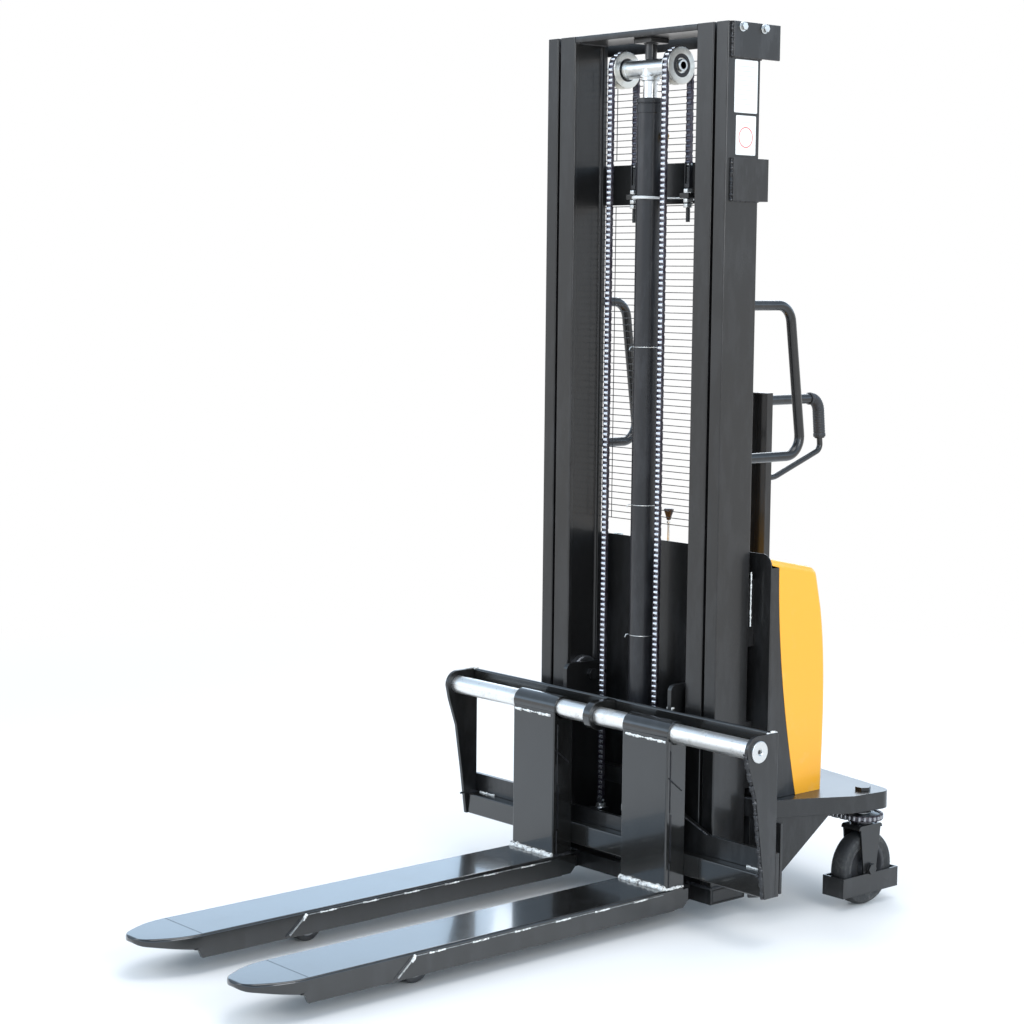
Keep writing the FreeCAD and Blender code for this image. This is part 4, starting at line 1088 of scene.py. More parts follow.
@dataclass
class LiftChains(Assembly):
    """The two lifting chains from the carriage over the pulleys to the fixed tie."""

    maker: ChainMaker = field(default_factory=ChainMaker)
    # The rear runs' maker gives the rollers the darker finish: painted shade on the runs behind the pulleys.
    shaded: ChainMaker = field(default_factory=lambda: ChainMaker(roller_finish=SHADED_ROLLERS))
    flat: float = 0.0045
    reserve_height: float = 0.010
    low_links: int = 25

    def build(self) -> None:
        """Make the front runs, the wraps, the rear runs and the rear runs' reserve."""
        front, rear = Box.of("front_chain_runs"), Box.of("rear_chain_runs")
        joint = next(j for j in frame["joints"] if j["name"] == "mast_lift")
        travel = joint["range_m"][1]
        x = front.high.x - self.maker.pin_half
        y_front, y_rear = front.middle.y, rear.middle.y
        top = front.high.z
        split = front.low.z + self.low_links * self.maker.pitch
        self.run("front_chains.low", "carriage", x, y_front, front.low.z, split, ["front_chain_runs"])
        high = self.run("front_chains.high", "inner_mast", x, y_front, split, top, [])
        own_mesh(high)
        radius = (y_rear - y_front) / 2
        count = round(math.pi * radius / self.maker.pitch)
        centre = Vector((x, (y_front + y_rear) / 2, top))
        pins = [centre + Vector((0, -radius * math.cos(math.pi * i / count),
            radius * math.sin(math.pi * i / count))) for i in range(count + 1)]
        shape = Shape()
        self.maker.links(shape, pins, Vector((1, 0, 0)))
        shape.mirrored().piece("chain_wraps.links", "inner_mast", ["chain_wraps"], weighted=False)
        self.run("rear_chains.low", "chassis", x, y_rear, rear.low.z, top - self.reserve_height, ["rear_chain_runs"])
        self.reserve(x, y_rear, top, travel)

    def run(self, name: str, body: str, x: float, y: float, z0: float, z1: float,
            replaces: Sequence[str]) -> bpy.types.Object:
        """Make one straight run of both chains between two heights."""
        count = max(1, round((z1 - z0) / self.maker.pitch))
        step = (z1 - z0) / count
        pins = [Vector((x, y, z0 + i * step)) for i in range(count + 1)]
        shape = Shape()
        # The rear runs take the darker rollers: painted shade.
        maker = self.shaded if name.startswith("rear") else self.maker
        maker.links(shape, pins, Vector((1, 0, 0)))
        return shape.mirrored().piece(name, body, replaces, weighted=False)

    def reserve(self, x: float, y: float, top: float, travel: float) -> None:
        """Make the length that the rear runs gain at full lift, folded up under the pulleys at rest."""
        low = top - self.reserve_height
        count = round((travel + self.reserve_height) / self.maker.pitch)
        step = (travel + self.reserve_height) / count
        pins = [Vector((x, y, low + i * step)) for i in range(count + 1)]
        shape = Shape()
        # The reserve takes the darker rollers too: painted shade.
        self.shaded.links(shape, pins, Vector((1, 0, 0)))
        shares = np.linspace(0.0, 1.0, 4001)
        reached = low + self.reserve_height * shares + travel * shares ** 2 * (3 - 2 * shares)
        for vert in shape.bm.verts:
            share = float(np.interp(vert.co.z, reached, shares))
            vert.co.z = low + self.reserve_height * share
        shape.mirrored()
        made = shape.piece("rear_chains.reserve", "chassis", weighted=False)
        made.parent = None
        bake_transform(made)


@dataclass
class ChainAnchors(Assembly):
    """The threaded pins with clevises and nuts that hold the chains' ends."""

    pin: float = 0.0055
    nut: float = 0.021

    def build(self) -> None:
        """Make both pairs."""
        self.pair("rear_chain_anchors", "chassis", 0.056)
        self.pair("front_chain_anchors", "carriage", 0.040)

    def pair(self, node: str, body: str, tail: float) -> None:
        """One pair: clevis plates, pin with thread ridges, and nuts."""
        box = Box.of(node)
        x, y = box.high.x - 0.0127, box.middle.y
        lug = box.low.z + tail
        shape = Shape()
        profile = [(0.0, 0.0), (self.pin - 0.001, 0.0)]
        length = box.high.z - 0.012 - box.low.z
        turns = int(length / 0.0035)
        for i in range(turns):
            z = (i + 0.5) * length / turns
            profile += [(self.pin, z), (self.pin - 0.0007, z + length / turns / 2)]
        profile += [(0.0, length)]
        shape.lathe(profile, (x, y, box.low.z), Axis.Z, PLASTIC, 20)
        for start in (lug + 0.0125, lug - 0.0105, lug - 0.0225):
            shape.hexagon(self.nut, (x, y, 0), Axis.Z, start, start + 0.0095, ZINC)
        shape.rod(0.0135, (x, y, lug + 0.012), 0.0015, Axis.Z, ZINC)
        base = lug + 0.024
        for sign in (-1, 1):
            shape.block((x + sign * 0.0068 - 0.0016, y - 0.0065, base), (x + sign * 0.0068 + 0.0016, y + 0.0065,
                box.high.z), SATIN_BLACK, 0.0012)
        shape.block((x - 0.0068, y - 0.0065, base), (x + 0.0068, y + 0.0065, base + 0.010), SATIN_BLACK, 0.001)
        shape.rod(0.0028, (x - 0.0095, y, box.high.z - 0.006), 0.019, Axis.X, ZINC, 0.0005, count=16)
        shape.mirrored().piece(f"{node}.clevises", body, [node], slot="zinc_steel")


@dataclass
class SteeringChain(Assembly):
    """The roller chain that joins the tiller's sprocket to both casters'."""

    maker: ChainMaker = field(default_factory=lambda: ChainMaker(roller=0.0046, roller_half=0.0042, pin_half=0.006,
        roller_finish=TURNED))

    def build(self) -> None:
        """Run links round the three sprockets."""
        band = Box.of("steering_chain")
        fork_box = Box.of("caster_fork_right")
        radius = band.high.x - fork_box.middle.x - 0.004
        caster = Vector((fork_box.middle.x, fork_box.middle.y, band.middle.z))
        tiller = Vector((0.0, band.high.y - radius - 0.004, band.middle.z))
        centres = [caster, tiller, Vector((-caster.x, caster.y, band.middle.z))]
        shape = Shape()
        self.maker.links(shape, self.even(self.belt(centres, radius)), Vector((0, 0, 1)))
        shape.piece("steering_chain.links", "chassis", ["steering_chain"], weighted=False)

    @staticmethod
    def belt(centres: Sequence[Vector], radius: float) -> list[Vector]:
        """The closed line of a belt round equal circles, given anticlockwise."""
        path = []
        count = len(centres)
        for i, centre in enumerate(centres):
            before = centre - centres[i - 1]
            after = centres[(i + 1) % count] - centre
            start = math.atan2(before.y, before.x) - math.pi / 2
            end = math.atan2(after.y, after.x) - math.pi / 2
            while end < start:
                end += 2 * math.pi
            for step in range(25):
                angle = start + (end - start) * step / 24
                path.append(centre + Vector((math.cos(angle), math.sin(angle), 0)) * radius)
        return path

    def even(self, path: Sequence[Vector]) -> list[Vector]:
        """Points one pitch apart round a closed line, ending where they start."""
        closed = list(path) + [path[0]]
        lengths = [0.0]
        for first, second in zip(closed, closed[1:]):
            lengths.append(lengths[-1] + (second - first).length)
        count = 2 * round(lengths[-1] / self.maker.pitch / 2)
        wanted = np.linspace(0.0, lengths[-1], count + 1)
        return [Vector([float(np.interp(w, lengths, [p[k] for p in closed])) for k in range(3)]) for w in wanted]


# ---- lift drive

@dataclass
class LiftDrive(Assembly):
    """The cylinder with its bands, the rod, the crosshead and the pulleys."""

    tube: float = 0.031
    bore: float = 0.025
    rod: float = 0.0175
    post: float = 0.014
    band_height: float = 0.0019
    bands: tuple[float, ...] = (0.636, 0.954, 1.335)
    bleed_height: float = 1.836

    def build(self) -> None:
        """Make the cylinder, the rod, the crosshead and the pulleys."""
        self.cylinder()
        self.fittings()
        self.piston()
        self.crosshead()
        self.pulleys()

    def cylinder(self) -> None:
        """The tube with its gland, foot and bright bands."""
        box = Box.of("lift_cylinder")
        x, y = box.middle.x, box.middle.y
        foot_top, gland = box.low.z + 0.030, box.high.z - 0.035
        shape = Shape()
        profile = [(0.0, 0.0), (self.tube, 0.0), (self.tube, gland - foot_top), (self.bore, gland - foot_top),
            (self.bore, 0.2), (0.0, 0.2)]
        shape.lathe(profile, (x, y, foot_top), Axis.Z, SATIN_BLACK, 56)
        outer, inner = 0.033, self.rod + 0.0001
        shape.lathe([(inner, 0.0), (outer - 0.001, 0.0), (outer, 0.001), (outer, 0.020), (outer - 0.0025, 0.021),
            (outer - 0.0025, 0.0235), (outer, 0.0245), (outer, 0.0335), (outer - 0.0015, 0.035), (inner, 0.035)],
            (x, y, gland), Axis.Z, SATIN_BLACK, 56)
        shape.block((box.low.x, y - 0.040, box.low.z), (box.high.x, y + 0.040, foot_top), BLACK, 0.003)
        shape.weld(ring(Axis.Z, x, y, foot_top, self.tube), 0.006, DARK_WELD)
        shape.piece("lift_cylinder.tube", "chassis", ["lift_cylinder"])

        bands = Shape()
        for z in self.bands:
            edge = self.tube + 0.0009
            bands.rod(edge, (x, y, z), self.band_height, Axis.Z, ZINC, 0.0005, self.tube - 0.0005, 56)
            twist = [Vector((x - edge * 0.8, y - edge * 0.65, z + 0.001)), Vector((x - edge * 0.9, y - edge * 0.8,
                z)), Vector((x - edge * 0.95, y - edge * 0.85, z - 0.007))]
            bands.tube(twist, 0.0010, ZINC, 8)
        bands.piece("lift_cylinder.bands", "chassis")

    def fittings(self) -> None:
        """The cable tie, the brass bleed fitting and the bright port at the foot."""
        box = Box.of("lift_cylinder")
        x, y = box.middle.x, box.middle.y
        shape = Shape()
        tie, radius = Box.of("middle_tie"), self.tube + 0.0045
        z, back = tie.low.z + 0.012, tie.high.y - 0.038
        points = [Vector((x - 0.046, back, z - 0.002)), Vector((x - radius, y + 0.004, z)),
            Vector((x - radius, y - radius, z + 0.002)), Vector((x + radius, y - radius, z + 0.001)),
            Vector((x + radius, y + 0.006, z)), Vector((x + 0.090, back, z))]
        path = corner_path(points, [0, 0.02, 0.033, 0.033, 0.02, 0], False, 8)
        total = len(path) - 1
        shape.tube(path, lambda k: 0.0058 - 0.0038 * k / total, TIE_WHITE, 10)
        for end in (path[0], path[-1]):
            shape.rod(0.005, (end.x, end.y - 0.002, end.z), tie.high.y - end.y - 0.002, Axis.Y, ZINC, 0.0008, count=16)
        shape.piece("lift_cylinder.clamp", "chassis")

        brass = Shape()
        port = (x + self.tube - 0.002, y + 0.012, self.bleed_height)
        brass.hexagon(0.016, port, Axis.X, 0.0, 0.009, BRASS)
        brass.rod(0.0055, (port[0] + 0.008, port[1], port[2]), 0.012, Axis.X, BRASS, count=20)
        brass.rod(0.0045, (port[0] + 0.015, port[1], port[2] - 0.016), 0.024, Axis.Z, BRASS, count=20)
        brass.piece("lift_cylinder.bleed", "chassis")

        base = Shape()
        low = Box.of("carriage_back_plate").high.z - 0.045
        base.rod(0.012, (x + 0.010, y - self.tube - 0.012, low), 0.052, Axis.Z, ZINC, 0.002, count=28)
        base.hexagon(0.024, (x + 0.010, y - self.tube - 0.012, low), Axis.Z, 0.018, 0.032, ZINC)
        base.block((x - 0.008, y - self.tube - 0.022, low - 0.018), (x + 0.028, y - self.tube + 0.004, low), ZINC,
            0.002)
        base.piece("lift_cylinder.port", "chassis")

    def piston(self) -> None:
        """The chromed rod with its piston."""
        box = Box.of("piston_rod")
        radius = box.size.x / 2
        profile = [(0.0, 0.0), (radius - 0.001, 0.0), (radius, 0.001), (radius, 0.014), (radius - 0.002, 0.0145),
            (radius - 0.002, 0.0195), (radius, 0.020), (radius, 0.039), (radius - 0.001, 0.040), (self.rod, 0.040),
            (self.rod, box.size.z), (0.0, box.size.z)]
        Shape().lathe(profile, (box.middle.x, box.middle.y, box.low.z), Axis.Z, ROD_STEEL,
            48).piece("piston_rod.chrome", "inner_mast", ["piston_rod"])

    def crosshead(self) -> None:
        """The bright crosshead on the rod, its pins, and the post up to the top beam."""
        box, wheel, column = Box.of("crosshead"), Box.of("chain_pulleys"), Box.of("inner_top_beam")
        y, z = wheel.middle.y, wheel.middle.z
        radius, half = 0.021, wheel.high.x - 0.0245
        shape = Shape()
        shape.rod(radius, (-half, y, z), 2 * half, Axis.X, ZINC, 0.002, count=48)
        for sign in (-1, 1):
            start = half - 0.012 if sign > 0 else -half
            shape.rod(radius + 0.0022, (start, y, z), 0.012, Axis.X, ZINC, 0.0015, count=48)
        low = Box.of("piston_rod").high.z
        shape.rod(self.rod + 0.0045, (0, y, low), z - low, Axis.Z, ZINC, 0.002)
        shape.weld([(0.0225 * math.cos(a), y + 0.0225 * math.sin(a),
            z - radius + 0.004 * abs(math.cos(a))) for a in np.linspace(0, 2 * math.pi, 25)], 0.005, BARE_WELD)
        shape.rod(0.010, (-box.high.x, y, z), 2 * box.high.x, Axis.X, TURNED, 0.001)
        for sign in (-1, 1):
            start = box.high.x - 0.0045 if sign > 0 else -box.high.x
            shape.rod(0.0145, (start, y, z), 0.0045, Axis.X, ZINC, 0.0012)
        cap = column.low.z - 0.012
        shape.rod(self.post, (0, y, z + radius - 0.002), cap - z - radius + 0.002, Axis.Z, BLACK, 0.001)
        shape.block((-0.030, y - 0.030, cap), (0.030, y + 0.030, column.low.z), BLACK, 0.002)
        shape.weld(ring(Axis.Z, 0.0, y, cap, 0.015), 0.005, DARK_WELD)
        shape.piece("crosshead.bar", "inner_mast", ["crosshead"])

    def pulleys(self) -> None:
        """The grooved pulleys with bearing faces."""
        box = Box.of("chain_pulleys")
        radius, width, groove = box.size.z / 2, 0.024, 0.0352
        bore = 0.01005
        rim, race = 0.0035, 0.024
        profile = [(bore, 0.0015), (race - 0.006, 0.0015), (race - 0.006, 0.003), (race, 0.003), (race, 0.0),
            (radius - 0.002, 0.0), (radius, 0.001), (radius, rim - 0.001), (groove, rim)]
        corner = (box.high.x - width, box.middle.y, box.middle.z)
        shape = Shape().lathe(symmetric(profile, width), corner, Axis.X, PULLEY_STEEL, 56)
        for start in (-0.0002, width - 0.0003):
            shape.rod(race + 0.0035, (corner[0] + start, corner[1], corner[2]), 0.0005, Axis.X, SATIN_BLACK, 0.0001,
                race - 0.0055, 56)
        shape.mirrored().piece("chain_pulleys.pair", "pulleys", ["chain_pulleys"])


# ---- carriage and forks

@dataclass
class Carriage(Assembly):
    """The frame that climbs the mast: side plates, round bar, rails and roller plates."""

    edge: float = 0.0012
    side_plate: float = 0.010

    def build(self) -> None:
        """Make the carriage's pieces."""
        self.side_plates()
        self.bar()
        self.rails()
        self.back_plate()
        self.roller_plates()

    def side_plates(self) -> None:
        """The shaped end plates with rough welds down their front edges."""
        box, bar = Box.of("carriage_side_plates"), Box.of("fork_bar")
        Shape().node("carriage_side_plates", BLACK, self.edge).piece("carriage.side_plates", "carriage",
            ["carriage_side_plates"])
        x = box.high.x - self.side_plate / 2 - 0.002
        shape = Shape()
        low, lobe = box.low.z, bar.middle.z
        slope = self.front_edge(box, bar)
        front = Shape().weld([(x, y, z) for y, z in slope], 0.0105, DARK_WELD, 1.0, 0.008)
        front.piece("carriage.front_weld", "carriage")
        shape.weld([(box.high.x - self.side_plate, box.high.y, lobe + 0.034), (box.high.x - 0.002, box.high.y - 0.004,
            lobe + 0.036)], 0.005, BARE_WELD)
        rear = box.high.y - 0.004
        shape.weld([(box.high.x - 0.004, rear - 0.030, box.high.z + 0.0005), (box.high.x - 0.004, rear,
            box.high.z + 0.0005)], 0.004, BARE_WELD, 0.8)
        shape.weld([(box.high.x - self.side_plate, box.low.y + 0.045, low + 0.056), (box.high.x - self.side_plate,
            rear, low + 0.056)], 0.006, DARK_WELD, 0.7)
        shape.mirrored().piece("carriage.side_welds", "carriage")

    @staticmethod
    def front_edge(box: Box, bar: Box) -> list[Point2]:
        """(y, z) points down the front edge of an end plate, read from its own mesh."""
        mesh = frame["nodes"]["carriage_side_plates"].data
        rows: dict[float, float] = {}
        for vert in mesh.vertices:
            if vert.co.x > 0 and vert.co.z < bar.middle.z + 0.001:
                key = round(vert.co.z, 3)
                rows[key] = min(rows.get(key, 9.0), vert.co.y)
        return [(rows[z], z) for z in sorted(rows) if rows[z] < box.high.y - 0.02]

    def bar(self) -> None:
        """The round bar, its middle collar and its end caps."""
        box = Box.of("fork_bar")
        radius = box.size.z / 2
        shape = Shape().lathe([(0.0, 0.0), (radius, 0.0)] + [(radius - 0.00015 * (i % 2),
            box.size.x * i / 60) for i in range(1, 60)] + [(radius, box.size.x), (0.0, box.size.x)],
            (box.low.x, box.middle.y, box.middle.z), Axis.X, BAR_STEEL, 64)
        shape.piece("fork_bar.round", "carriage", ["fork_bar"])

        fittings, plates = Box.of("bar_fittings"), Box.of("carriage_side_plates")
        y, z = box.middle.y, box.middle.z
        caps = Shape()
        start = plates.high.x
        thick = fittings.high.x - start
        caps.lathe([(0.0, 0.0), (0.025, 0.0), (0.025, thick - 0.0012), (0.0238, thick), (0.0085, thick),
            (0.0070, thick - 0.0012), (0.0070, thick - 0.0040), (0.0, thick - 0.0040)], (start, y, z), Axis.X, ZINC,
            48)
        caps.hexagon(0.009, (start, y, z), Axis.X, thick - 0.0042, thick - 0.0022, PLASTIC)
        caps.mirrored().piece("bar_fittings.caps", "carriage")
        collar = Shape().node("bar_fittings", FORK_BLACK, 0.003)
        gone = [v for v in collar.bm.verts if abs(v.co.x) > 0.1]
        bmesh.ops.delete(collar.bm, geom=gone, context="VERTS")
        collar.piece("bar_fittings.collar", "carriage", ["bar_fittings"])

    def rails(self) -> None:
        """The top rail and the lower bar, with welds at their ends."""
        for name, edge in (("carriage_top_rail", 0.0052), ("carriage_lower_bar", 0.004)):
            box = Box.of(name)
            shape = Shape().node(name, FORK_BLACK, edge, 4)
            shape.piece(f"{name}.bar", "carriage", [name])
        low = Box.of("carriage_lower_bar")
        shape = Shape()
        x = low.high.x
        shape.weld([(x - 0.002, low.low.y, low.high.z), (x - 0.002, low.high.y, low.high.z)], 0.008, DARK_WELD, 0.8)
        shape.weld([(x - 0.075, low.high.y - 0.001, low.high.z + 0.001), (x - 0.015, low.high.y - 0.001,
            low.high.z + 0.001)], 0.006, BARE_WELD, 0.9)
        rail = Box.of("carriage_top_rail")
        shape.weld([(x - 0.001, rail.low.y, rail.high.z), (x - 0.001, rail.high.y, rail.high.z)], 0.006, BARE_WELD,
            0.8)
        shape.mirrored().piece("carriage.rail_welds", "carriage")

    def back_plate(self) -> None:
        """The stepped back plate with the lugs of the chains."""
        shape = Shape().node("carriage_back_plate", BLACK, 0.0015)
        plate, cheek, outer = Box.of("carriage_back_plate"), Box.of("roller_plates"), Box.of("outer_column_right")
        x = cheek.high.x - 0.006
        shape.weld([(outer.high.x + 0.012, plate.low.y, 0.2135), (outer.low.x - 0.022, plate.low.y, 0.2500),
            (x + 0.006, plate.low.y, plate.high.z - 0.001)], 0.005, DARK_WELD, 0.6)
        shape.piece("carriage_back_plate.plate", "carriage", ["carriage_back_plate"])

    def roller_plates(self) -> None:
        """The upright plates that hold the carriage's rollers, with their lugs and bolts."""
        box = Box.of("roller_plates")
        shape = Shape().node("roller_plates", BLACK, 0.0025)
        x0, x1 = 0.176, 0.188
        rail = Box.of("carriage_top_rail")
        for x in (x0, x1):
            shape.weld([(x, rail.high.y + 0.001, rail.high.z + 0.001), (x, rail.high.y + 0.010, rail.high.z + 0.001)],
                0.007, BARE_WELD, 0.9)
            shape.weld([(x, box.low.y, box.low.z + 0.155), (x, box.low.y, box.low.z + 0.135)], 0.006, DARK_WELD)
        shape.piece("roller_plates.cheeks", "carriage", ["roller_plates"])


@dataclass
class Fork(Assembly):
    """One fork: sleeve, shank, channel blade and rounded toe."""

    side: Side
    wall: float = 0.008
    blade_edge: float = 0.006
    toe_taper: float = 0.088
    toe_end: float = 0.036
    toe_corner: float = 0.054
    toe_shoulder: float = 0.20
    toe_bottom: float = 0.056
    skirt_lift: float = 0.007
    toe_length: float = 0.134
    overlap: float = 0.0005
    past_shank: float = 0.028
    heel_back: float = 0.041
    slot_low: float = 0.155
    slot_high: float = 0.265
    bead: float = 0.015
    sleeve: float = 0.0285
    shank_half: float = 0.075
    shank_plate: float = 0.012

    def build(self) -> None:
        """Make the blade with its toe, the shank with its sleeve, and the welds."""
        self.box = Box.of("fork_right")
        self.bar = Box.of("fork_bar")
        self.blade_top = frame["record"]["mounts"][0]["pos_m"][2]
        self.shank_front = self.bar.middle.y - self.sleeve + self.overlap
        self.web_back = Box.of("carriage_lower_bar").low.y - 0.0005
        self.toe_start = self.box.low.y + self.toe_length
        self.blade_end = self.shank_front + self.past_shank
        self.heel = Box.of("support_leg_right").high.y - self.heel_back
        self.skirt_low = self.box.low.z + self.skirt_lift
        self.finish(self.blade(), "blade", [f"fork_{self.side.word}"])
        self.finish(self.shank(), "shank", [])
        self.finish(self.welds(), "welds", [])

    def finish(self, shape: Shape, name: str, replaces: list[str]) -> None:
        """Make one piece on this fork's side."""
        shape.on(self.side).piece(f"{self.side.word}_fork.{name}", f"{self.side.word}_fork", replaces)

    def blade(self) -> Shape:
        """The folded channel and the solid toe."""
        x0, x1, low, top, edge = self.box.low.x, self.box.high.x, self.skirt_low, self.blade_top, self.blade_edge
        section = [(x0, low, 0.001), (x0 + self.wall, low, 0.001), (x0 + self.wall, top - self.wall, 0.003),
            (x1 - self.wall, top - self.wall, 0.003), (x1 - self.wall, low, 0.001), (x1, low, 0.001), (x1, top, edge),
            (x0, top, edge)]
        return self.toe(Shape().prism(section, Axis.Y, self.toe_start - self.overlap, self.blade_end, FORK_BLACK))

    def plan(self) -> list[Vector]:
        """The toe's plan from its tip to its full width: half-widths as x, distances from the tip as y."""
        full = self.box.size.x / 2
        corners = [Vector((0, 0, 0)), Vector((self.toe_end, 0, 0)), Vector((full, self.toe_taper, 0)),
            Vector((full, self.toe_start - self.box.low.y, 0))]
        return corner_path(corners, [0, self.toe_corner, self.toe_shoulder, 0], False, 16)[1:]

    def toe(self, shape: Shape) -> Shape:
        """Loft the toe through rounded sections."""
        tip, edge, middle = self.box.low.y, self.blade_edge, self.box.middle.x
        length = self.toe_start - tip
        under = [(0.0, 0.0795), (0.0015, 0.0765), (0.005, 0.0740), (0.012, 0.0720), (0.028, 0.0700),
            (length - 0.021, self.toe_bottom), (length, self.toe_bottom)]
        plan = self.plan()
        places = sorted({round(p.y, 6) for p in plan} | {round(u[0], 6) for u in under} | {round(length * i / 24,
            6) for i in range(1, 24)})
        part = bmesh.new()
        rings = []
        for away in places:
            half = float(np.interp(away, [p.y for p in plan], [p.x for p in plan]))
            low = float(np.interp(away, [u[0] for u in under], [u[1] for u in under]))
            high = self.blade_top - 0.0040 * max(0.0, 1 - away / 0.007) ** 2
            round_top = edge + 0.003 * max(0.0, 1 - away / 0.08)
            lower, upper = min(edge * 0.7, (high - low) / 3), min(round_top, (high - low) / 2.2)
            rim = outline([(middle - half, low, lower), (middle + half, low, lower), (middle + half, high, upper),
                (middle - half, high, upper)], 5)
            rings.append([part.verts.new(Vector((u, tip + away, v))) for u, v in rim])
        join(part, rings)
        start, low = self.toe_start, self.toe_bottom
        notch = [(start - 0.021, low), (start - 0.014, low - 0.0012), (start - 0.010, low - 0.004),
            (start - 0.0075, low - 0.009), (start - 0.003, self.skirt_low + 0.002), (start - 0.0012, self.skirt_low),
            (start, self.skirt_low), (start, low + 0.014), (start - 0.010, low + 0.004)]
        for x in (self.box.low.x + 0.0001, self.box.high.x - self.wall - 0.0001):
            shape.prism(notch, Axis.X, x, x + self.wall, FORK_BLACK)
        return shape.add(part, FORK_BLACK)

    def shank(self) -> Shape:
        """The folded upright with its side webs, slot, and the sleeve on the bar."""
        middle, top = self.box.middle.x, self.bar.middle.z - 0.008
        x0, x1 = middle - self.shank_half, middle + self.shank_half
        y, z = self.bar.middle.y, self.bar.middle.z
        front = self.shank_front
        low = self.blade_top - 0.001
        shape = Shape()
        section = [(x0, front, 0.004), (x1, front, 0.004), (x1, front + self.shank_plate, 0.001),
            (x0, front + self.shank_plate, 0.001)]
        shape.prism(section, Axis.Z, low, top, FORK_BLACK, 0.0008)
        back = front + self.shank_plate
        for start in (x0, x1 - self.wall):
            slot = rectangle(back + 0.0005, back + 0.0055, self.slot_low, self.slot_high)
            foot, under = self.blade_end - 0.004, self.blade_top - self.wall
            web = [(foot, self.skirt_low), (self.heel - 0.017, self.skirt_low), (self.heel, self.skirt_low + 0.017),
                (self.heel, under), (self.web_back, under), (self.web_back, top - 0.03), (self.web_back - 0.006, top),
                (back, top), (back, low), (foot, low)]
            shape.prism(web, Axis.X, start, start + self.wall, FORK_BLACK, 0.0008)
            shape.prism(slot, Axis.X, start - 0.0006, start + self.wall + 0.0006, SATIN_BLACK)
        bore = self.bar.size.z / 2 + 0.0002
        rim = self.sleeve
        sleeve = symmetric([(bore, 0.0), (rim - 0.001, 0.0), (rim, 0.001)], 2 * self.shank_half)
        shape.lathe(sleeve, (x0, y, z), Axis.X, FORK_BLACK, 56)
        return shape

    def welds(self) -> Shape:
        """The bright beads at the heel and under the sleeve, and the painted seams."""
        middle, top = self.box.middle.x, self.bar.middle.z
        x0, x1 = middle - self.shank_half, middle + self.shank_half
        front, blade = self.shank_front, self.blade_top
        y = self.bar.middle.y
        shape = Shape()
        shape.weld([(x0 - 0.001, front - 0.002, blade + 0.0015), (middle, front - 0.003, blade + 0.0015),
            (x1 + 0.001, front - 0.002, blade + 0.0015)], self.bead, BARE_WELD, 1.0, 0.009)
        for x, sign in ((x0, -1), (x1, 1)):
            shape.weld([(x + sign * 0.0015, front + 0.002, blade + 0.001), (x + sign * 0.0015, self.web_back - 0.004,
                blade + 0.001)], 0.007, BARE_WELD if sign > 0 else DARK_WELD, 0.8)
            shape.weld([(x + sign * 0.0005, front + 0.006, 0.352), (x + sign * 0.0005, self.web_back - 0.012, 0.317)],
                0.0035, DARK_WELD, 0.6)
            shape.weld([(x + sign * 0.0005, front + self.shank_plate, blade + 0.004),
                (x + sign * 0.0005, front + self.shank_plate, 0.150)], 0.003, DARK_WELD)
            shape.weld([(x + sign * 0.0005, front + self.shank_plate, 0.270), (x + sign * 0.0005,
                front + self.shank_plate, top - 0.040)], 0.003, DARK_WELD)
        seam_y = y - self.sleeve + 0.003
        shape.weld([(x0 + 0.012, seam_y - 0.001, top - 0.0185), (x1 - 0.006, seam_y - 0.001, top - 0.0185)], 0.007,
            BARE_WELD, 1.0, 0.009)
        low = self.skirt_low
        for x in (self.box.high.x + 0.0002, self.box.low.x - 0.0002):
            head, tail = self.toe_start + 0.274, self.toe_start + 0.226
            shape.weld([(x, head, blade - 0.007), (x, tail, low + 0.006)], 0.0055, SEAM_WELD, 0.5)
            shape.weld([(x, head - 0.010, blade - 0.007), (x, tail - 0.010, low + 0.006)], 0.0035, DARK_WELD, 0.5)
            shape.weld([(x, head - 0.001, blade - 0.006), (x, head - 0.012, blade - 0.019)], 0.0075, BARE_WELD, 0.7)
            shape.weld([(x, head, blade - 0.0085), (x, self.shank_front - 0.01, blade - 0.0085)], 0.0022, SEAM_WELD,
                0.3)
            for i in range(6):
                start = self.toe_start + 0.31 + i * 0.12
                shape.weld([(x, start, blade - 0.009), (x, start + 0.045, blade - 0.009)], 0.0042, BARE_WELD, 0.9,
                    0.008)
        return shape


# ---- legs, base and casters

@dataclass
class Legs(Assembly):
    """The support legs under the forks, and the rollers in their ends."""

    def build(self) -> None:
        """Make both legs and both rollers."""
        for side in Side:
            leg = Shape().node("support_leg_right", BLACK, 0.003)
            box = Box.of("support_leg_right")
            leg.weld([(box.low.x, box.high.y - 0.001, box.high.z), (box.high.x, box.high.y - 0.001, box.high.z)],
                0.008, DARK_WELD)
            wheel = Box.of("load_roller_right")
            for x, sign in ((box.low.x, -1), (box.high.x, 1)):
                leg.rod(0.0145, (x if sign > 0 else x - 0.002, wheel.middle.y, wheel.middle.z), 0.002, Axis.X, TURNED,
                    0.0005)
            radius, width = wheel.size.z / 2, wheel.size.x
            roller = Shape()
            tread = [(0.0245, 0.002), (radius - 0.004, 0.0), (radius - 0.001, 0.0012), (radius, 0.004)]
            centre = (wheel.low.x, wheel.middle.y, wheel.middle.z)
            roller.lathe(symmetric(tread, width), centre, Axis.X, NYLON, 56)
            roller.lathe(symmetric([(0.01005, 0.001), (0.0243, 0.0005)], width), centre, Axis.X, TURNED, 40)
            for shape, name, body, node in ((leg, "support_leg", "chassis", f"support_leg_{side.word}"),
                    (roller, "load_roller", f"{side.word}_load_roller", f"load_roller_{side.word}")):
                shape.on(side).piece(f"{name}.{side.word}", body, [node])


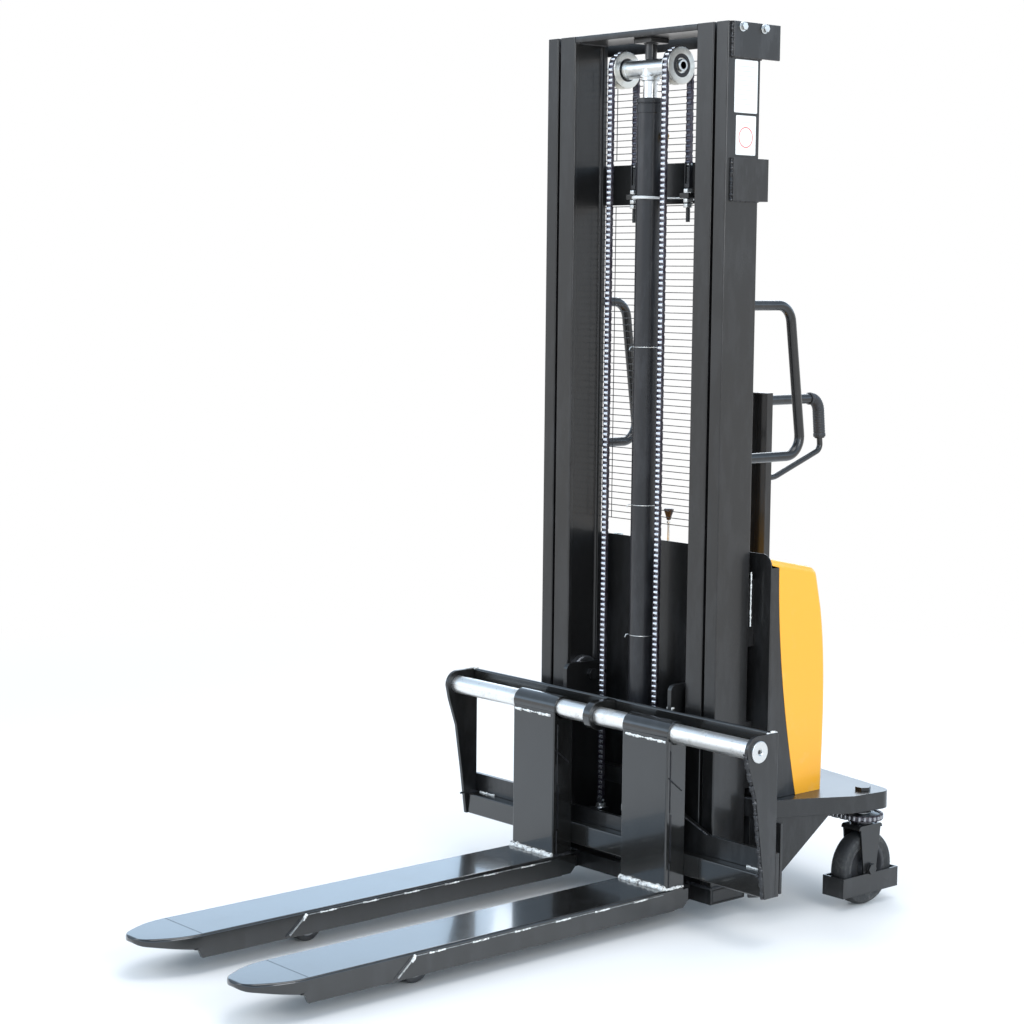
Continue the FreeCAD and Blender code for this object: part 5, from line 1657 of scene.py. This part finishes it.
@dataclass
class Base(Assembly):
    """The base plate with its rounded rim, and the gussets under it."""

    def build(self) -> None:
        """Make the plate and the gussets."""
        Shape().node("base_plate", BLACK, 0.004).piece("base_plate.pan", "chassis", ["base_plate"])
        box = Box.of("gussets")
        shape = Shape().node("gussets", BLACK, 0.0012)
        welds = Shape()
        plate, mast = Box.of("base_plate"), Box.of("front_panel")
        welds.weld([(mast.high.x - 0.055, mast.low.y, plate.high.z), (mast.high.x - 0.006, mast.high.y - 0.001,
            plate.high.z)], 0.006, DARK_WELD)
        welds.mirrored().piece("base_plate.welds", "chassis")
        shape.block((-box.high.x + 0.010, box.low.y + 0.001, box.low.z + 0.030), (box.high.x - 0.010,
            box.low.y + 0.009, plate.low.z), BLACK, 0.001)
        shape.piece("gussets.pair", "chassis", ["gussets"])


@dataclass
class Caster(Assembly):
    """One swivelling caster: fork, sprocket teeth, axle and wheel."""

    side: Side
    teeth: int = 21
    tooth: float = 0.0032
    spokes: int = 6

    def build(self) -> None:
        """Make the fork and the wheel."""
        fork_box, wheel = Box.of("caster_fork_right"), Box.of("caster_wheel_right")
        chain = Box.of("steering_chain")
        shape = Shape().node("caster_fork_right", BLACK, 0.0012)
        x, y = fork_box.middle.x, fork_box.middle.y
        sprocket_teeth(shape, x, y, chain.middle.z, 0.0418, self.teeth, self.tooth)
        crown = wheel.high.z + 0.008
        shape.rod(0.026, (x, y, crown + 0.0095), 0.009, Axis.Z, SATIN_BLACK, 0.002)
        shape.rod(0.0215, (x, y, chain.high.z + 0.001), 0.004, Axis.Z, ZINC, 0.001)
        for sign in (-1, 1):
            for dx in (-0.018, 0.018):
                shape.rod(0.004, (x + dx, y + sign * 0.030, crown + 0.009), 0.003, Axis.Z, SATIN_BLACK, 0.001,
                    count=16)
        side = self.side.word
        shape.on(self.side).piece(f"caster_fork.{side}", f"{side}_swivel", [f"caster_fork_{side}"])

        radius, width = wheel.size.z / 2, wheel.size.x
        rim = radius - 0.025
        centre = (wheel.low.x, wheel.middle.y, wheel.middle.z)
        half = width / 2
        tread = [(rim - 0.0005, 0.003), (rim + 0.006, 0.0015), (radius - 0.014, 0.0), (radius - 0.006, 0.0015)]
        for i in range(11):
            angle = math.radians(-70 + 14 * i)
            tread.append((radius - 0.0055 + 0.0055 * math.cos(angle), half + (half - 0.004) * math.sin(angle)))
        tread += [(radius - 0.006, width - 0.0015), (radius - 0.014, width), (rim + 0.006, width - 0.0015),
            (rim - 0.0005, width - 0.003)]
        wheel_shape = Shape().lathe(tread, centre, Axis.X, TYRE, 72)
        hub = 0.021
        disc = [(0.00805, 0.0015), (hub, 0.0015), (hub + 0.001, 0.003), (hub + 0.003, 0.014), (rim - 0.014, 0.016),
            (rim - 0.010, 0.006), (rim - 0.006, 0.0035), (rim, 0.0035)]
        wheel_shape.lathe(symmetric(disc, width), centre, Axis.X, NYLON, 56)
        for i in range(self.spokes):
            angle = 2 * math.pi * i / self.spokes
            away = Vector((0, math.cos(angle), math.sin(angle)))
            first = Vector((wheel.middle.x, wheel.middle.y, wheel.middle.z)) + away * (hub + 0.001)
            last = first + away * (rim - hub - 0.012)
            wheel_shape.tube([first, first.lerp(last, 0.5), last], lambda k: 0.0095 - 0.0015 * k, NYLON, 10)
        wheel_shape.on(self.side).piece(f"caster_wheel.{side}", f"{side}_wheel", [f"caster_wheel_{side}"])


def sprocket_teeth(shape: Shape, x: float, y: float, z: float, root: float, teeth: int, height: float) -> None:
    """Add a toothed ring round a sprocket's body."""
    rim = []
    for i in range(teeth * 4):
        radius = root - 0.001 + height * (i % 4 in (1, 2))
        angle = 2 * math.pi * i / (teeth * 4)
        rim.append((x + radius * math.cos(angle), y + radius * math.sin(angle)))
    shape.prism(rim, Axis.Z, z - 0.0018, z + 0.0018, TURNED)


# ---- housing

@dataclass
class Housing(Assembly):
    """The front panel, the side sheets, the yellow cover and what it hides."""

    sheet: float = 0.003
    cover_radius: float = 0.0155
    bend: float = 0.030
    panel_edge: float = 0.0008

    def build(self) -> None:
        """Make every piece."""
        self.panels()
        self.cover()
        self.contents()

    def panels(self) -> None:
        """The black front panel with its spacers, and the side sheets."""
        panel, column = Box.of("front_panel"), Box.of("outer_column_right")
        Shape().node("front_panel", BLACK, self.panel_edge).piece("front_panel.sheet", "chassis", ["front_panel"])
        Shape().node("housing_sides", BLACK, 0.0012).piece("housing_sides.sheets", "chassis", ["housing_sides"])
        shape = Shape()
        x, y = column.high.x - 0.003, column.high.y + 0.002
        shape.weld([(x + 0.006, y, 0.690), (x + 0.006, y, 0.818)], 0.0035, BARE_WELD, 1.0, 0.005)
        shape.weld([(panel.high.x - 0.008, panel.high.y - 0.001, 0.300), (panel.high.x - 0.008, panel.high.y - 0.001,
            0.820)], 0.003, DARK_WELD)
        shape.mirrored().piece("front_panel.welds", "chassis")

    def side_outline(self) -> tuple[list[Vector], list[Vector]]:
        """The cover's side view, read from its own mesh.

        Returns:
            Points from the top of the front edge, over the top and down the back, and points up the seam.
        """
        box, sides = Box.of("rear_cover"), Box.of("housing_sides")
        points = {(round(v.co.y, 4), round(v.co.z,
            4)) for v in frame["nodes"]["rear_cover"].data.vertices if v.co.x > box.high.x - 0.0005}
        low = [p for p in points if p[1] < box.low.z + 0.002]
        foot, seam_low = max(low), min(low)
        top_rear = max(points, key=lambda p: p[0] + 1.2 * p[1])
        middle = (seam_low[0] + foot[0]) / 2
        back = sorted((p for p in points if top_rear[1] > p[1] > foot[1] and p[0] > middle), key=lambda p: -p[1])
        seam = sorted((p for p in points if sides.high.z + 0.001 > p[1] > foot[1] and p[0] < middle),
            key=lambda p: p[1])
        path = [Vector((box.high.x, y, z)) for y, z in [(box.low.y, box.high.z), top_rear, *back, foot]]
        path = corner_path(path[:2] + [path[2 + len(back) // 4]], [0, self.bend, 0], False,
            8)[:-1] + path[2 + len(back) // 4:]
        return path, [Vector((box.high.x, y, z)) for y, z in [seam_low, *seam]]

    def cover(self) -> None:
        """The cover: one sheet with rounded corners, its slot and its button hole."""
        box = Box.of("rear_cover")
        path, seam = self.side_outline()
        tangents = [(path[min(i + 1, len(path) - 1)] - path[max(i - 1, 0)]).normalized() for i in range(len(path))]
        outward = [Vector((0.0, -t.z, t.y)) for t in tangents]
        outward[0], outward[-1] = Vector((0.0, 0.0, 1.0)), Vector((0.0, 1.0, 0.0))
        skin = bmesh.new()
        rings = []
        for sign in (1, -1):
            rows = []
            for step in range(8):
                angle = math.pi / 2 * step / 7
                x = sign * (box.high.x - self.cover_radius * (1 - math.sin(angle)))
                inset = self.cover_radius * (1 - math.cos(angle))
                rows.append([skin.verts.new((x, p.y - n.y * inset, p.z - n.z * inset)) for p,
                    n in zip(path, outward)])
            rings += rows if sign < 0 else list(reversed(rows))
            edge = [skin.verts.new((sign * box.high.x, p.y, p.z)) for p in seam]
            skin.faces.new(rows[-1] + edge)
        for first, second in zip(rings, rings[1:]):
            for i in range(len(path) - 1):
                skin.faces.new((first[i], first[i + 1], second[i + 1], second[i]))
        bmesh.ops.recalc_face_normals(skin, faces=skin.faces)
        bmesh.ops.solidify(skin, geom=skin.faces[:], thickness=self.sheet)
        shape = Shape().add(skin, YELLOW)
        lever, button = Box.of("lift_lever"), Box.of("stop_button")
        holes = Shape()
        y = lever.middle.y
        holes.prism(rectangle(lever.middle.x - 0.012, lever.middle.x + 0.012, y - 0.027, y + 0.027, 0.010), Axis.Z,
            box.high.z - 0.06, box.high.z + 0.01, YELLOW)
        holes.rod(0.0065, (button.middle.x, button.middle.y, box.high.z - 0.06), 0.07, Axis.Z, YELLOW)
        shape.cut(holes)
        for face in shape.bm.faces:
            face.material_index = 0
        shape.piece("rear_cover.sheet", "chassis", ["rear_cover"])
        self.trim(box, lever)

    def trim(self, box: Box, lever: Box) -> None:
        """The rubber lip round the lever's slot."""
        x, y = lever.middle.x, lever.middle.y
        slope = math.atan2(0.033, 0.161)
        height = box.high.z - (y - box.low.y) * math.tan(slope)
        part = Shape()
        part.prism(rectangle(x - 0.018, x + 0.018, y - 0.033, y + 0.033, 0.014), Axis.Z, height, height + 0.0025,
            PLASTIC, 0.0008, [outline(rectangle(x - 0.0105, x + 0.0105, y - 0.0255, y + 0.0255, 0.009))])
        turn = Matrix.Translation((x, y, height)) @ Matrix.Rotation(-slope, 4, "X") @ Matrix.Translation((-x, -y,
            -height))
        bmesh.ops.transform(part.bm, matrix=turn, verts=part.bm.verts)
        part.piece("rear_cover.slot_lip", "chassis")

    def contents(self) -> None:
        """The battery, the pump unit, the tank, the controller and the pipe."""
        battery = Box.of("battery")
        shape = Shape()
        lid = battery.high.z - 0.030
        shape.block(battery.low, (battery.high.x, battery.high.y, lid), PLASTIC, 0.004)
        shape.block((battery.low.x + 0.001, battery.low.y + 0.001, lid), (battery.high.x - 0.001,
            battery.high.y - 0.001, battery.high.z - 0.012), GREY, 0.003)
        for sign in (-1, 1):
            x = battery.middle.x + sign * battery.size.x * 0.36
            shape.rod(0.008, (x, battery.low.y + 0.03, battery.high.z - 0.013), 0.013, Axis.Z, BRASS, 0.001)
        for i in range(6):
            x = battery.low.x + battery.size.x * (i + 0.5) / 6
            shape.rod(0.010, (x, battery.middle.y, battery.high.z - 0.013), 0.006, Axis.Z, PLASTIC, 0.0015)
        shape.piece("battery.case", "chassis", ["battery"])

        pump = Box.of("pump_unit")
        shape = Shape().node("pump_unit", GREY, 0.003)
        x, y = pump.middle.x, pump.middle.y
        for z in (0.012, 0.085, 0.170):
            shape.rod(0.0565, (x, y, pump.low.z + z), 0.008, Axis.Z, GREY, 0.001, 0.054, 48)
        for dx in (-0.030, 0.030):
            for dy in (-0.030, 0.030):
                shape.hexagon(0.010, (x + dx, y + dy, pump.high.z), Axis.Z, -0.001, 0.006, ZINC)
        shape.piece("pump_unit.body", "chassis", ["pump_unit"])

        tank = Box.of("oil_tank")
        shape = Shape().node("oil_tank", GREY, 0.008)
        shape.rod(0.022, (tank.middle.x, tank.middle.y, tank.high.z - 0.002), 0.014, Axis.Z, PLASTIC, 0.002)
        shape.piece("oil_tank.body", "chassis", ["oil_tank"])

        unit = Box.of("controller")
        shape = Shape().node("controller", SATIN_BLACK, 0.002)
        for i in range(9):
            x = unit.low.x + 0.012 + i * (unit.size.x - 0.024) / 8
            shape.block((x - 0.0015, unit.high.y - 0.001, unit.low.z + 0.006), (x + 0.0015, unit.high.y + 0.010,
                unit.high.z - 0.006), SATIN_BLACK, 0.0005)
        shape.piece("controller.case", "chassis", ["controller"])
        Shape().node("pressure_pipe", SATIN_BLACK).piece("pressure_pipe.line", "chassis", ["pressure_pipe"])


# ---- guards, handles, tiller and controls

@dataclass
class Guards(Assembly):
    """The two guards of thin welded wires behind the mast."""

    wire: float = 0.0010
    pitch: float = 0.016
    columns: tuple[float, ...] = (-0.170, 0.0, 0.170)

    def build(self) -> None:
        """Make both guards."""
        for node in ("lower_guard", "upper_guard"):
            box, column = Box.of(node), Box.of("outer_column_right")
            shape = Shape()
            y = box.high.y - self.wire
            rows = round((box.size.z - 2 * self.wire) / self.pitch)
            for row in range(rows + 1):
                z = box.low.z + self.wire + row * self.pitch
                sag = 0.0006 * wobble(row, box.low.z)
                line = [Vector((box.low.x + self.wire, y, z)), Vector((0.0, y, z + sag)),
                    Vector((box.high.x - self.wire, y, z))]
                shape.tube(line, self.wire, SATIN_BLACK, 8)
            for x in (box.low.x + self.wire, *self.columns, box.high.x - self.wire):
                line = [Vector((x, y - 1.7 * self.wire, box.low.z)), Vector((x, y - 1.7 * self.wire, box.high.z))]
                shape.tube(line, self.wire, SATIN_BLACK, 8)
            for x in (-1, 1):
                for z in (box.low.z + 0.010, box.high.z - 0.010):
                    at = x * (column.low.x + 0.0045)
                    shape.block((min(at, at + x * 0.010), column.high.y, z - 0.010), (max(at, at + x * 0.010),
                        box.high.y - 2 * self.wire, z + 0.010), SATIN_BLACK, 0.0008)
            shape.piece(f"{node}.wires", "chassis", [node])


@dataclass
class Handles(Assembly):
    """The bent tube handles behind the mast, welded to the columns."""

    def build(self) -> None:
        """Make both handles."""
        box, column = Box.of("side_handles"), Box.of("outer_column_right")
        radius = 0.012
        x, start = box.high.x - radius, column.high.y
        top, low = box.high.z - radius, box.low.z + radius
        rear = box.high.y - radius
        points = [Vector((x, start, top)), Vector((x, start + 0.144, top)), Vector((x, rear + 0.002, low)),
            Vector((x, start, low))]
        path = corner_path(points, [0, 0.045, 0.045, 0], False, 12)
        shape = Shape().tube(path, radius, BLACK, 28)
        for z in (top, low):
            shape.weld(ring(Axis.Y, x, z, start + 0.001, 0.0125), 0.005, DARK_WELD)
        shape.mirrored().piece("side_handles.tubes", "chassis", ["side_handles"])


@dataclass
class Tiller(Assembly):
    """The steering post with its loop, its brace rod and its rubber grip."""

    tube: float = 0.013
    rod: float = 0.0075
    grip: float = 0.016

    def build(self) -> None:
        """Make the post, the loop and the grip."""
        post, loop, grip = Box.of("tiller_post"), Box.of("tiller_loop"), Box.of("tiller_grip")
        chain = Box.of("steering_chain")
        shape = Shape().node("tiller_post", BLACK, 0.0015)
        y = post.middle.y
        sprocket_teeth(shape, 0.0, y, chain.middle.z, 0.0418, 21, 0.0032)
        flange = Box.of("base_plate").high.z + 0.0085
        for i in range(4):
            angle = math.pi / 4 + i * math.pi / 2
            shape.bolt(0.009, (0.034 * math.cos(angle), y + 0.034 * math.sin(angle), flange), Axis.Z, 1, ZINC)
        shape.weld([(-0.027, y + 0.0105, flange), (0.027, y + 0.0105, flange)], 0.005, DARK_WELD)
        shape.piece("tiller_post.channel", "tiller", ["tiller_post"])
        shape = Shape().node("tiller_loop", BLACK)
        back = loop.low.y
        for z, radius in ((loop.high.z - self.tube, self.tube), (0.998, self.rod)):
            shape.weld(ring(Axis.Y, 0.0, z, back + 0.001, radius, 20), 0.004, DARK_WELD)
        shape.piece("tiller_loop.tube", "tiller", ["tiller_loop"])
        top, low = grip.high.z - self.grip, grip.low.z + 0.002
        lean = 0.1
        bend = Vector((0, grip.high.y - self.grip - lean * (top - low), top))
        path = corner_path([Vector((0, grip.low.y, top)), bend, Vector((0, bend.y + lean * (top - low), low))],
            [0, 0.034, 0], False, 14)
        fine = []
        for first, second in zip(path, path[1:]):
            count = max(1, round((second - first).length / 0.0022))
            fine += [first.lerp(second, i / count) for i in range(count)]
        fine.append(path[-1])
        total = len(fine)

        def ribbed(i: int) -> float:
            """The grip's radius with shallow ribs and a collar at each end."""
            end = min(i, total - 1 - i)
            if end < 4:
                return self.grip - 0.0004 * (end == 0)
            return self.grip - 0.0006 - 0.0008 * (i % 3 == 0)

        Shape().tube(fine, ribbed, GRIP, 32).piece("tiller_grip.sleeve", "tiller", ["tiller_grip"])


@dataclass
class Controls(Assembly):
    """The lift lever with its knob, the valve below it, and the push button."""

    stem: float = 0.003

    def build(self) -> None:
        """Make the lever, the valve and the button."""
        lever, valve = Box.of("lift_lever"), Box.of("control_valve")
        x, y = lever.middle.x, lever.middle.y
        pivot = lever.low.z + 0.010
        shape = Shape()
        shape.rod(0.010, (x - 0.009, y, pivot), 0.018, Axis.X, ZINC, 0.0015, 0.00405, 32)
        knob = lever.high.z - 0.029
        shape.rod(self.stem, (x, y, pivot + 0.008), knob - pivot, Axis.Z, ZINC, 0.0005, count=20)
        shape.hexagon(0.008, (x, y, knob - 0.008), Axis.Z, 0.0, 0.005, ZINC)
        shape.lathe([(0.0, 0.0), (0.0048, 0.0), (0.0055, 0.0015), (0.0075, 0.010), (0.0110, 0.020), (0.0126, 0.0245),
            (0.0124, 0.0272), (0.0105, 0.0286), (0.0, 0.0290)], (x, y, knob), Axis.Z, KNOB, 36)
        shape.piece("lift_lever.stem", "lever", ["lift_lever"], slot="black_plastic")

        shape = Shape().node("control_valve", GREY, 0.0015)
        for dy in (-0.022, 0.022):
            shape.hexagon(0.016, (valve.middle.x - 0.022, y + dy, pivot - 0.014), Axis.Z, -0.001, 0.009, ZINC)
        shape.piece("control_valve.block", "chassis", ["control_valve"])

        button = Box.of("stop_button")
        x, y = button.middle.x, button.middle.y
        top = button.high.z
        shape = Shape()
        shape.lathe([(0.0, 0.0), (0.004, 0.0), (0.004, top - 0.0085 - button.low.z), (0.0095,
            top - 0.0080 - button.low.z), (0.0118, top - 0.0062 - button.low.z), (0.0120,
            top - 0.0046 - button.low.z), (0.0108, top - 0.0020 - button.low.z), (0.0070,
            top - 0.0004 - button.low.z), (0.0, top - button.low.z)], (x, y, button.low.z), Axis.Z, BUTTON, 40)
        shape.piece("stop_button.head", "button", ["stop_button"])


# ---- stage

@dataclass
class Stage(Assembly):
    """The floor, the studio light and the camera."""

    position: Vector = field(default_factory=lambda: Vector((3.83093, -3.43036, 1.505)))
    azimuth: float = 48.88
    pitch: float = 6.08
    roll: float = 0.59
    lens: float = 78.26
    brightness: float = 2.5

    def build(self) -> None:
        """Set everything up."""
        view = bpy.context.scene.view_settings
        view.view_transform, view.look, view.exposure = "Standard", "None", 0.0
        self.floor()
        self.world()
        self.lights()
        self.camera()

    def floor(self) -> None:
        """A wide flat floor."""
        mesh = bpy.data.meshes.new("floor")
        part = bmesh.new()
        bmesh.ops.create_grid(part, x_segments=8, y_segments=8, size=30.0)
        part.to_mesh(mesh)
        part.free()
        mesh.materials.append(FLOOR.material())
        made = bpy.data.objects.new("floor", mesh)
        bpy.context.scene.collection.objects.link(made)

    def world(self) -> None:
        """A white studio that turns pale blue overhead."""
        world = bpy.data.worlds.new("studio")
        bpy.context.scene.world = world
        g = Graph(world, "Background")
        height = g.node("ShaderNodeSeparateXYZ", None, {0: g.node("ShaderNodeTexCoord")}, 2)
        hues = ((0.0, (1.0, 1.0, 1.0)), (0.118, (1.0, 1.0, 1.0)), (0.15, (0.60, 0.79, 1.0)),
            (0.45, (0.62, 0.80, 1.0)), (1.0, (0.60, 0.74, 0.95)))
        glows = ((0.0, 0.4), (0.118, 0.4), (0.16, 0.9), (0.30, 0.9), (0.45, 0.36), (1.0, 0.34))
        glow = g.node("ShaderNodeValToRGB", {"stops": [(at, (level,) * 3) for at, level in glows]}, {0: height})
        g.feed(Color=g.node("ShaderNodeValToRGB", {"stops": hues}, {0: height}), Strength=glow * self.brightness)

    def lights(self) -> None:
        """Large soft lights from the front, the right and above."""
        for name, at, height, size, power in (("key", (-2.2, -4.2, 3.6), 0.8, 2.6, 70.0),
                ("fill", (4.6, -0.6, 2.6), 1.0, 2.4, 90.0), ("top", (0.5, 0.5, 5.2), 0.6, 3.2, 110.0),
                ("rear", (-3.0, 4.0, 3.0), 1.0, 2.6, 60.0)):
            light = bpy.data.lights.new(name, "AREA")
            light.shape, light.size, light.energy = "SQUARE", size, power
            made = bpy.data.objects.new(name, light)
            made.location = at
            made.rotation_euler = (Vector((0.0, 0.0, height)) - Vector(at)).to_track_quat("-Z", "Y").to_euler()
            bpy.context.scene.collection.objects.link(made)

    def camera(self) -> None:
        """The camera, at a person's height in front of the forks."""
        azimuth, pitch, roll = (math.radians(a) for a in (self.azimuth, self.pitch, self.roll))
        ahead = Vector((-math.sin(azimuth) * math.cos(pitch), math.cos(azimuth) * math.cos(pitch), -math.sin(pitch)))
        right = Vector((math.cos(azimuth), math.sin(azimuth), 0.0))
        up = right.cross(ahead)
        turned = right * math.cos(roll) + up * math.sin(roll)
        lifted = up * math.cos(roll) - right * math.sin(roll)
        data = bpy.data.cameras.new("camera")
        data.lens, data.sensor_width = self.lens, 36.0
        data.clip_end = 200.0
        made = bpy.data.objects.new("camera", data)
        made.matrix_world = Matrix(((turned.x, lifted.x, -ahead.x, self.position.x), (turned.y, lifted.y, -ahead.y,
            self.position.y), (turned.z, lifted.z, -ahead.z, self.position.z), (0.0, 0.0, 0.0, 1.0)))
        bpy.context.scene.collection.objects.link(made)
        bpy.context.scene.camera = made


def main() -> None:
    """Build the stage and every sub-assembly."""
    logging.basicConfig(level=logging.INFO, format="%(name)s: %(message)s")
    groups: list[Assembly] = [Stage(), Mast(), GuideRollers(), LiftDrive(), LiftChains(), ChainAnchors(), Carriage(),
        Fork(Side.RIGHT), Fork(Side.LEFT), Legs(), Base(), Caster(Side.RIGHT), Caster(Side.LEFT), SteeringChain(),
        Housing(), Guards(), Handles(), Tiller(), Controls()]
    for group in groups:
        LOG.info("building %s", type(group).__name__)
        group.build()


if __name__ == "__main__":
    main()
